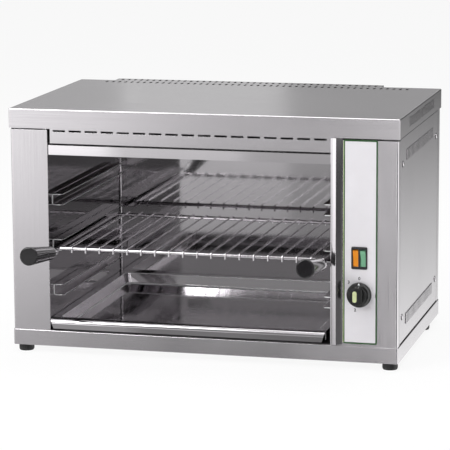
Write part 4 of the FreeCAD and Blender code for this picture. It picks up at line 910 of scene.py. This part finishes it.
@dataclass
class ControlPost(Maker):
    """The polished moulding between the chamber's mouth and the controls."""

    flat: float = 5.3 * MM
    ridge: float = 9.4 * MM
    foot: float = 16.8 * MM
    flat_reach: float = 5.3 * MM
    foot_reach: float = 0.9 * MM
    end_reach: float = 0.5 * MM
    nose: float = 2.2 * MM
    ridge_round: float = 0.6 * MM

    def build(self) -> None:
        """Shape the moulding."""
        low, high = box_of("control_post")
        places = [low.x + run for run in (self.flat, self.ridge, self.foot)]
        post = Bench.block("control_post_moulding", low, high)
        for place in places:
            post.slice((place, 0, 0), (1, 0, 0))
        reaches = ((low.x, self.flat_reach), (places[0], self.flat_reach),
                   (places[2], self.foot_reach), (high.x, self.end_reach))
        for at, reach in reaches:
            post.pick_points(lambda spot: abs(spot.x - at) < NEAR and spot.y < low.y + MM)
            post.shift((0, high.y - low.y - reach, 0))
        post.pick_straight(2, lambda spot: abs(spot.x - low.x) < MM and spot.y < high.y - MM)
        post.bevel(self.nose, 6)
        post.pick_straight(2, lambda spot: abs(spot.x - places[1]) < NEAR and spot.y < low.y + MM)
        post.bevel(self.ridge_round, 3)
        post.tidy(25).dress("bright_post")
        # painted reflection: the right flank and foot get the dark copy of the steel
        post.dress_faces("post_painted_dark_reflection", lambda place, normal: place.x > places[1] + self.ridge_round)
        post.hand_in("body", "mirror_stainless", "control_post")


@dataclass
class ControlLabel(Maker):
    """The printed plate behind the controls: a pale face, a thin border and the dial's figures."""

    corner: float = 3.0 * MM
    line: float = 0.8 * MM
    border: float = 1.9 * MM
    rocker_side: float = 0.3 * MM
    rocker_room: float = 2.0 * MM
    dial_radius: float = 26.0 * MM
    figure_height: float = 7.0 * MM
    figure_weight: float = 0.16 * MM
    ink_depth: float = 0.03 * MM
    ink_proud: float = 0.02 * MM
    figures: tuple[tuple[str, float], ...] = (("0", 0.0), ("1", 92.0), ("2", 195.0), ("3", 319.0))

    def build(self) -> None:
        """Make the plate and print the figures round the knob."""
        low, high = box_of("control_label")
        plate = Bench.block("control_label_plate", low, high)
        plate.pick_straight(1, lambda place: True).bevel(self.corner, 6)
        plate.pick_faces(lambda place, normal: normal.y < -FACING_LIMIT).inset(self.line)
        plate.pick_faces(lambda place, normal: (
            normal.y < -FACING_LIMIT and self.margin(place) > MIDDLE_REACH)).inset(self.border)
        room = Vector((self.rocker_side, 0, self.rocker_room))
        plate.subtract(rocker_opening(room, high.y + MM)).tidy().dress("label_face")
        edge = self.line + self.border
        plate.dress_faces("label_border", lambda place, normal: (
            normal.y < -FACING_LIMIT and self.margin(place) < edge))
        # painted reflection on the plate's leftmost strip
        plate.dress_faces("label_edge_painted_reflection", lambda place, normal: (
            normal.y < -FACING_LIMIT and place.x - low.x < self.line))
        plate.hand_in("body", "printed_label", "control_label")
        for text, clockwise in self.figures:
            self.print_figure(text, clockwise, low.y)

    def margin(self, place: Vector) -> float:
        """Find how far a place on the plate lies from the nearest edge."""
        low, high = box_of("control_label")
        return min(place.x - low.x, high.x - place.x, place.z - low.z, high.z - place.z)

    def print_figure(self, text: str, clockwise: float, face: float) -> None:
        """Print one figure of the dial.

        Args:
            text: The figure.
            clockwise: Its angle from the top, in degrees.
            face: The plate's front.
        """
        low, high = box_of("knob")
        middle = (low + high) / 2
        angle = math.radians(clockwise)
        clear_selection()
        bpy.ops.object.text_add()
        piece = bpy.context.object
        piece.data.body = text
        piece.data.size = self.figure_height
        piece.data.offset = self.figure_weight
        piece.data.extrude = self.ink_depth
        piece.data.align_x, piece.data.align_y = "CENTER", "CENTER"
        bpy.ops.object.convert(target="MESH")
        piece = bpy.context.object
        piece.rotation_euler = Facing.FRONT.value
        piece.location = (middle.x + self.dial_radius * math.sin(angle), face - self.ink_proud,
                          middle.z + self.dial_radius * math.cos(angle))
        figure = Bench(piece, f"dial_figure_{text}")
        figure.tidy().dress("label_ink")
        figure.hand_in("body", "printed_label")


@dataclass
class SelectorKnob(Maker):
    """The knob: a bevelled skirt, a round body, a broad bar with an inlay and a white mark.

    The neck joins the skirt to the body: where it starts and ends above the skirt's top, and how
    much wider than the body it starts. The mark's reach is a triangle's, corner to middle.
    """

    skirt: float = 4.0 * MM
    skirt_heel: float = 0.3 * MM
    body_depth: float = 10.0 * MM
    body_radius: float = 15.5 * MM
    neck_start: float = 0.1 * MM
    neck_end: float = 0.9 * MM
    neck_flare: float = 0.8 * MM
    bar_width: float = 16.0 * MM
    bar_length: float = 29.0 * MM
    bar_corner: float = 7.0 * MM
    rim: float = 1.2 * MM
    rim_turn: float = 0.35
    inlay_round: float = 0.49
    mark_width: float = 3.8 * MM
    mark_reach: float = 0.577
    mark_rise: float = 0.42

    def build(self) -> None:
        """Turn the knob, raise its bar and lay in the marks."""
        low, high = box_of("knob")
        centre = Vector(((low.x + high.x) / 2, high.y, (low.z + high.z) / 2))
        radius, rim, heel = (high.x - low.x) / 2, self.rim, self.skirt_heel
        turn = self.rim_turn * rim
        rings = [(0, radius - heel), (heel, radius), (self.skirt - rim, radius),
                 (self.skirt - turn, radius - turn), (self.skirt, radius - rim),
                 (self.skirt + self.neck_start, self.body_radius + self.neck_flare),
                 (self.skirt + self.neck_end, self.body_radius),
                 (self.body_depth - rim, self.body_radius - rim / 2),
                 (self.body_depth, self.body_radius - 2 * rim)]
        knob = Bench.turned("knob_turned", rings, centre, Facing.FRONT, 72)
        half = Vector((self.bar_width / 2, 0, self.bar_length / 2))
        face = Vector((centre.x, low.y, centre.z))
        foot = Vector((centre.x, centre.y - self.body_depth + rim, centre.z))
        bar = Bench.block("knob_bar", face - half, foot + half)
        bar.pick_straight(1, lambda place: True).bevel(self.bar_corner, 8)
        bar.pick_edges(lambda place: place.y < low.y + NEAR).bevel(rim, 4)
        bar.tidy()
        knob.tidy().merge(bar).dress("knob_plastic")
        knob.hand_in("knob", "black_gloss", "knob")
        self.lay_inlay()
        self.lay_mark(centre)

    def lay_inlay(self) -> None:
        """Lay the pale oblong in the bar's face."""
        low, high = box_of("knob_window")
        inlay = Bench.block("knob_inlay", low, high)
        inlay.pick_straight(1, lambda place: True).bevel((high.x - low.x) * self.inlay_round, 8)
        inlay.tidy().dress("knob_inlay")
        inlay.hand_in("knob", "pale_inlay", "knob_window")

    def lay_mark(self, centre: Vector) -> None:
        """Lay the white triangle on the skirt, pointing outwards."""
        low, high = box_of("knob_pointer")
        place = Vector((centre.x, high.y, low.z + self.mark_width * self.mark_rise))
        reach = self.mark_width * self.mark_reach
        rings = [(0, reach), (high.y - low.y, reach)]
        # the mark's finish glows, as painted light
        mark = Bench.turned("knob_mark_painted_glow", rings, place, Facing.FRONT, 3)
        mark.tidy().dress("knob_mark_painted_glow")
        mark.hand_in("knob", "white_mark", "knob_pointer")


@dataclass
class RockerSwitch(Maker):
    """The twin switch: a softened bezel and two coloured rockers, each with a hollow face."""

    tilt: float = 7.0
    half_height: float = 13.2 * MM
    face: float = 6.5 * MM
    back: float = 3.0 * MM
    heel: float = 0.9 * MM
    border: float = 0.7 * MM
    relief: float = 0.15 * MM
    edge: float = 0.45 * MM

    def build(self) -> None:
        """Round the bezel and shape the rockers."""
        SoftSheet("switch_housing", "switch_plastic", "black_matte", 0.3 * MM).build()
        for colour in ("orange", "green"):
            self.shape_rocker(colour)

    def shape_rocker(self, colour: str) -> None:
        """Shape one rocker about the pin and tip it to its rest.

        Args:
            colour: The rocker's colour, as in its node's name.
        """
        node = f"rocker_{colour}"
        low, high = box_of(node)
        pin_low, pin_high = box_of("rocker_pin")
        pivot = (pin_low + pin_high) / 2
        tip = self.face + self.half_height * math.tan(math.radians(self.tilt))
        foot, front = pivot.y + self.back, pivot.y - tip
        bottom, top = pivot.z - self.half_height, pivot.z + self.half_height
        rocker = Bench.block(f"{node}_cap", (low.x, front, bottom), (high.x, foot, top))
        rocker.slice((0, 0, pivot.z), (0, 0, 1))
        rocker.pick_points(lambda place: place.y < pivot.y and abs(place.z - pivot.z) < MM)
        rocker.shift((0, tip - self.face, 0))
        rocker.pick_points(lambda place: place.y > pivot.y and place.z > top - MM)
        rocker.shift((0, 0, -self.heel))
        rocker.pick_points(lambda place: place.y > pivot.y and place.z < bottom + MM)
        rocker.shift((0, 0, self.heel))
        rocker.pick_faces(lambda place, normal: normal.y < -FACING_LIMIT)
        rocker.inset(self.border, self.relief)
        rocker.close_object()
        rocker.turn(self.tilt, (1, 0, 0), pivot)
        rocker.soften(self.edge).tidy().dress(f"{colour}_lens")
        rocker.hand_in(node, f"{colour}_lens", node)


@dataclass
class CarryGrips(Maker):
    """The two black grips of the rack."""

    edge: float = 0.3 * MM

    def build(self) -> None:
        """Smooth the two grips."""
        for side in ("left", "right"):
            SoftSheet(f"grip_{side}", "grip_plastic", "black_gloss", self.edge, "rack").build()


@dataclass
class PanScrews(Maker):
    """Low pan-headed screws with a cross recess over a dark washer.

    The dome gives the head's outline as shares of its depth and radius, and the cross the half
    length and half width of its arms as shares of the radius.
    """

    head: float = 3.6 * MM
    washer: float = 5.4 * MM
    washer_depth: float = 0.3 * MM
    head_depth: float = 1.7 * MM
    recess: float = 0.9 * MM
    box_radius: float = 4.0 * MM
    ring_gap: float = 0.02 * MM
    dome: tuple[tuple[float, float], ...] = ((0.55, 1.0), (0.75, 0.88), (0.92, 0.6), (1.0, 0.25))
    cross: tuple[float, float] = (0.62, 0.14)

    def build(self) -> None:
        """Make the screws of both sides."""
        for side, facing in (("left", Facing.LEFT), ("right", Facing.RIGHT)):
            node = f"side_screws_{side}"
            low, high = box_of(node)
            face = high.x - self.head_depth if side == "right" else low.x + self.head_depth
            inset = self.box_radius
            spots = [(face, y, z) for y in (low.y + inset, high.y - inset)
                     for z in (low.z + inset, high.z - inset)]
            self.place(node, spots, facing)

    def place(self, node: str, spots: Sequence[tuple[float, float, float]],
              facing: Facing) -> None:
        """Place the screws of one node as one piece."""
        screws = [self.turn_screw(f"{node}_{index}", spot, facing)
                  for index, spot in enumerate(spots)]
        piece = screws[0].merge(*screws[1:])
        piece.dress("zinc_screw")
        ring = self.head + self.ring_gap
        piece.dress_faces("switch_plastic", lambda place, normal: self.reach(place, spots) > ring)
        piece.hand_in("body", "bright_screws", node)

    def reach(self, place: Vector, spots: Sequence[tuple[float, float, float]]) -> float:
        """Find how far a place lies from the nearest screw's axis."""
        return min(math.hypot(place.y - y, place.z - z) for _, y, z in spots)

    def turn_screw(self, name: str, spot: tuple[float, float, float], facing: Facing) -> Bench:
        """Turn one screw and cut its recess.

        Args:
            name: The screw's name.
            spot: The place of its underside.
            facing: The way that its head points.

        Returns:
            The screw on the bench.
        """
        top, head, rim = self.head_depth, self.head, self.washer_depth
        rings = [(0, self.washer), (rim, self.washer), (rim, head),
                 *((rise * top, width * head) for rise, width in self.dome)]
        screw = Bench.turned(name, rings, spot, facing, 32)
        outward = 1 if facing is Facing.RIGHT else -1
        tip = Vector(spot) + Vector((outward * top, 0, 0))
        arm, slot = (share * head for share in self.cross)
        deep = self.recess
        for index, half in enumerate(((deep, arm, slot), (deep, slot, arm))):
            cutter = Bench.block(f"{name}_cut{index}", tip - Vector(half), tip + Vector(half))
            screw.subtract(cutter)
        return screw.tidy(50)


@dataclass(frozen=True)
class Lamp:
    """A soft lamp: its place, its width and height, and its power in watts."""

    name: str
    place: tuple[float, float, float]
    size: tuple[float, float]
    power: float


@dataclass(frozen=True)
class Sector:
    """One part of the room that only the metal sees, as cards above each other.

    Left and right are degrees from straight ahead of the object, right being positive. Each card
    has a name, its lowest and highest angle in degrees, and its brightness there.
    """

    name: str
    left: float
    right: float
    cards: tuple[tuple[str, float, float, float, float], ...]


@dataclass
class Studio:
    """The pale floor, the soft light, the cards that the metal reflects and the camera."""

    azimuth: float = 14.4226
    elevation: float = 10.408
    roll: float = -0.3117
    distance: float = 4.19417
    aim: tuple[float, float, float] = (-0.0106, 0.05525, 0.18898)
    focal_pixels: float = 2497.7
    frame_pixels: float = 450.0
    sensor: float = 36.0
    floor_size: float = 14.0
    floor_tone: float = 0.85
    floor_white: float = 0.90
    sky: float = 0.35
    floor_roughness: float = 0.9
    card_distance: float = 6.0
    lamps: tuple[Lamp, ...] = (
        Lamp("key_lamp", (-1.8, -2.4, 2.2), (1.8, 1.8), 90.0),
        Lamp("top_lamp", (0.2, 0.3, 2.6), (2.4, 2.0), 50.0),
    )
    sectors: tuple[Sector, ...] = (
        Sector("left", -75, -18, (
            ("ground", -60, -16, 0.60, 0.45), ("glow", -16, -5, 0.45, 2.1),
            ("glow_top", -5, 5, 2.1, 1.0), ("room", 5, 35, 0.50, 0.50))),
        Sector("front", -18, -13, (
            ("ground", -60, -14, 0.45, 0.28), ("glow", -14, -6, 0.30, 1.02),
            ("glow_top", -6, 3, 1.02, 0.5), ("room", 3, 35, 0.33, 0.33))),
        Sector("near", -13, -4, (
            ("ground", -60, -14, 0.36, 0.22), ("glow", -14, -6, 0.22, 0.66),
            ("glow_top", -6, 3, 0.66, 0.42), ("room", 3, 35, 0.33, 0.33))),
        Sector("front", -4, 4, (("strip", -40, 25, 3.0, 3.0),)),
        Sector("right", 4, 75, (
            ("ground", -60, -12, 0.40, 0.30), ("dark", -12, -7, 0.15, 0.13),
            ("glow", -7, 4, 0.6, 1.5), ("room", 4, 35, 0.45, 0.45))),
        Sector("side", 76, 118, (("glow", -20, 25, 2.5, 2.5),)),
        Sector("back", 120, 178, (
            ("ground", -60, -16, 1.20, 1.20), ("glow", -16, -4, 1.20, 0.10),
            ("room", -4, 35, 0.10, 0.30))),
        Sector("back_left", 182, 192, (("near", -20, 50, 0.40, 0.40),)),
        Sector("back_left", 192, 198, (("mid", -20, 50, 0.66, 0.66),)),
        Sector("back_left", 198, 255, (("far", -20, 50, 0.50, 0.50),)),
    )

    def set_camera(self) -> None:
        """Stand the camera where the photograph was taken from."""
        across, up = math.radians(self.azimuth), math.radians(self.elevation)
        back = Vector((math.sin(across) * math.cos(up), -math.cos(across) * math.cos(up),
                       math.sin(up)))
        data = bpy.data.cameras.new("camera")
        data.sensor_width = self.sensor
        data.lens = self.focal_pixels / self.frame_pixels * self.sensor
        camera = bpy.data.objects.new("camera", data)
        bpy.context.scene.collection.objects.link(camera)
        turn = back.to_track_quat("Z", "Y").to_matrix().to_4x4()
        roll = Matrix.Rotation(math.radians(self.roll), 4, "Z")
        stand = Matrix.Translation(Vector(self.aim) + back * self.distance)
        camera.matrix_world = stand @ turn @ roll
        bpy.context.scene.camera = camera

    def lay_floor(self) -> None:
        """Lay a pale floor that is white to the camera and keeps the object's shadow."""
        clear_selection()
        bpy.ops.mesh.primitive_plane_add(size=self.floor_size)
        floor = bpy.context.object
        floor.name = "floor"
        board = NodeBoard("floor")
        tone = self.floor_tone
        board.plain(Base_Color=(tone, tone, tone, 1), Roughness=self.floor_roughness)
        white = board.tree.nodes.new("ShaderNodeEmission")
        mix = board.tree.nodes.new("ShaderNodeMixShader")
        board.link(self.camera_share(board.tree, self.floor_white), mix.inputs["Fac"])
        board.link(board.shader.outputs["BSDF"], mix.inputs[1])
        board.link(white.outputs["Emission"], mix.inputs[2])
        board.link(mix.outputs["Shader"], board.tree.nodes["Material Output"].inputs["Surface"])
        floor.data.materials.append(board.material)
        floor.visible_glossy = False

    def camera_share(self, tree: bpy.types.NodeTree, share: float) -> bpy.types.NodeSocket:
        """Give a share to what the camera sees directly, and nothing to other rays."""
        path = tree.nodes.new("ShaderNodeLightPath")
        times = tree.nodes.new("ShaderNodeMath")
        times.operation = "MULTIPLY"
        times.inputs[1].default_value = share
        tree.links.new(path.outputs["Is Camera Ray"], times.inputs[0])
        return times.outputs["Value"]

    def hang_sky(self) -> None:
        """Make the world white to the camera and to reflections, and dim as a light."""
        world = bpy.data.worlds.new("studio")
        bpy.context.scene.world = world
        world.use_nodes = True
        tree = world.node_tree
        dim, white = tree.nodes["Background"], tree.nodes.new("ShaderNodeBackground")
        for background, strength in ((dim, self.sky), (white, 1.0)):
            background.inputs["Color"].default_value = (1, 1, 1, 1)
            background.inputs["Strength"].default_value = strength
        path = tree.nodes.new("ShaderNodeLightPath")
        either = tree.nodes.new("ShaderNodeMath")
        either.operation = "MAXIMUM"
        mix = tree.nodes.new("ShaderNodeMixShader")
        tree.links.new(path.outputs["Is Camera Ray"], either.inputs[0])
        tree.links.new(path.outputs["Is Glossy Ray"], either.inputs[1])
        tree.links.new(either.outputs["Value"], mix.inputs["Fac"])
        tree.links.new(dim.outputs["Background"], mix.inputs[1])
        tree.links.new(white.outputs["Background"], mix.inputs[2])
        tree.links.new(mix.outputs["Shader"], tree.nodes["World Output"].inputs["Surface"])

    def hang_lamp(self, lamp: Lamp) -> None:
        """Hang a soft lamp that faces the object.

        Args:
            lamp: The lamp's place, size and power.
        """
        light = bpy.data.lights.new(lamp.name, "AREA")
        light.shape = "RECTANGLE"
        light.size, light.size_y = lamp.size
        light.energy = lamp.power
        piece = bpy.data.objects.new(lamp.name, light)
        bpy.context.scene.collection.objects.link(piece)
        piece.location = lamp.place
        toward = Vector(self.aim) - Vector(lamp.place)
        piece.rotation_euler = toward.to_track_quat("-Z", "Y").to_euler()

    def stand_card(self, sector: Sector, name: str, lowest: float, highest: float,
                   low_tone: float, high_tone: float) -> None:
        """Stand a card that only reflections see.

        Args:
            sector: The sector that it stands in.
            name: Its name there.
            lowest: The angle of its lower edge, in degrees.
            highest: The angle of its upper edge.
            low_tone: How bright it is at the lower edge.
            high_tone: How bright it is at the upper edge.
        """
        left, right = math.radians(sector.left), math.radians(sector.right)
        middle, half = (left + right) / 2, (right - left) / 2
        away = self.card_distance
        ahead = Vector((math.sin(middle), -math.cos(middle), 0))
        side = Vector((math.cos(middle), math.sin(middle), 0))
        low, high = (away * math.tan(math.radians(angle)) for angle in (lowest, highest))
        corner = ahead * away - side * away * math.tan(half) + Vector((0, 0, self.aim[2] + low))
        along = side * 2 * away * math.tan(half)
        name = f"{sector.name}_{name}"
        piece = Bench.plate(name, corner, along, Vector((0, 0, high - low))).piece
        board = NodeBoard(name)
        glow = board.tree.nodes.new("ShaderNodeEmission")
        split = board.tree.nodes.new("ShaderNodeSeparateXYZ")
        board.link(board.spot, split.inputs["Vector"])
        board.link(board.spread(split.outputs["Y"], low_tone, high_tone, 0.0, 1.0),
                   glow.inputs["Strength"])
        board.link(glow.outputs["Emission"], board.tree.nodes["Material Output"].inputs["Surface"])
        piece.data.materials.append(board.material)
        for ray in ("camera", "diffuse", "shadow", "transmission"):
            setattr(piece, f"visible_{ray}", False)

    def build(self) -> None:
        """Set up the whole studio."""
        bpy.context.scene.view_settings.view_transform = "Standard"
        self.set_camera()
        self.lay_floor()
        self.hang_sky()
        for lamp in self.lamps:
            self.hang_lamp(lamp)
        for sector in self.sectors:
            for card in sector.cards:
                self.stand_card(sector, *card)
        log.info("studio: camera, floor, sky, lamps and cards")


def main() -> None:
    """Dress the frame and set up the studio."""
    logging.basicConfig(level=logging.INFO, format="%(name)s: %(message)s")
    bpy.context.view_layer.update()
    Bench.finishes = {recipe.name: recipe.make() for recipe in RECIPES}
    dress_nodes(frame["nodes"])
    for kind in (Shell, BasePan, ControlFascia, DripTray, ChamberLiner, RackGuides, ControlPost,
                 ControlLabel, SelectorKnob, RockerSwitch, CarryGrips, PanScrews):
        kind().build()
        log.info("built %s", kind.__name__)
    Studio().build()


if __name__ == "__main__":
    main()
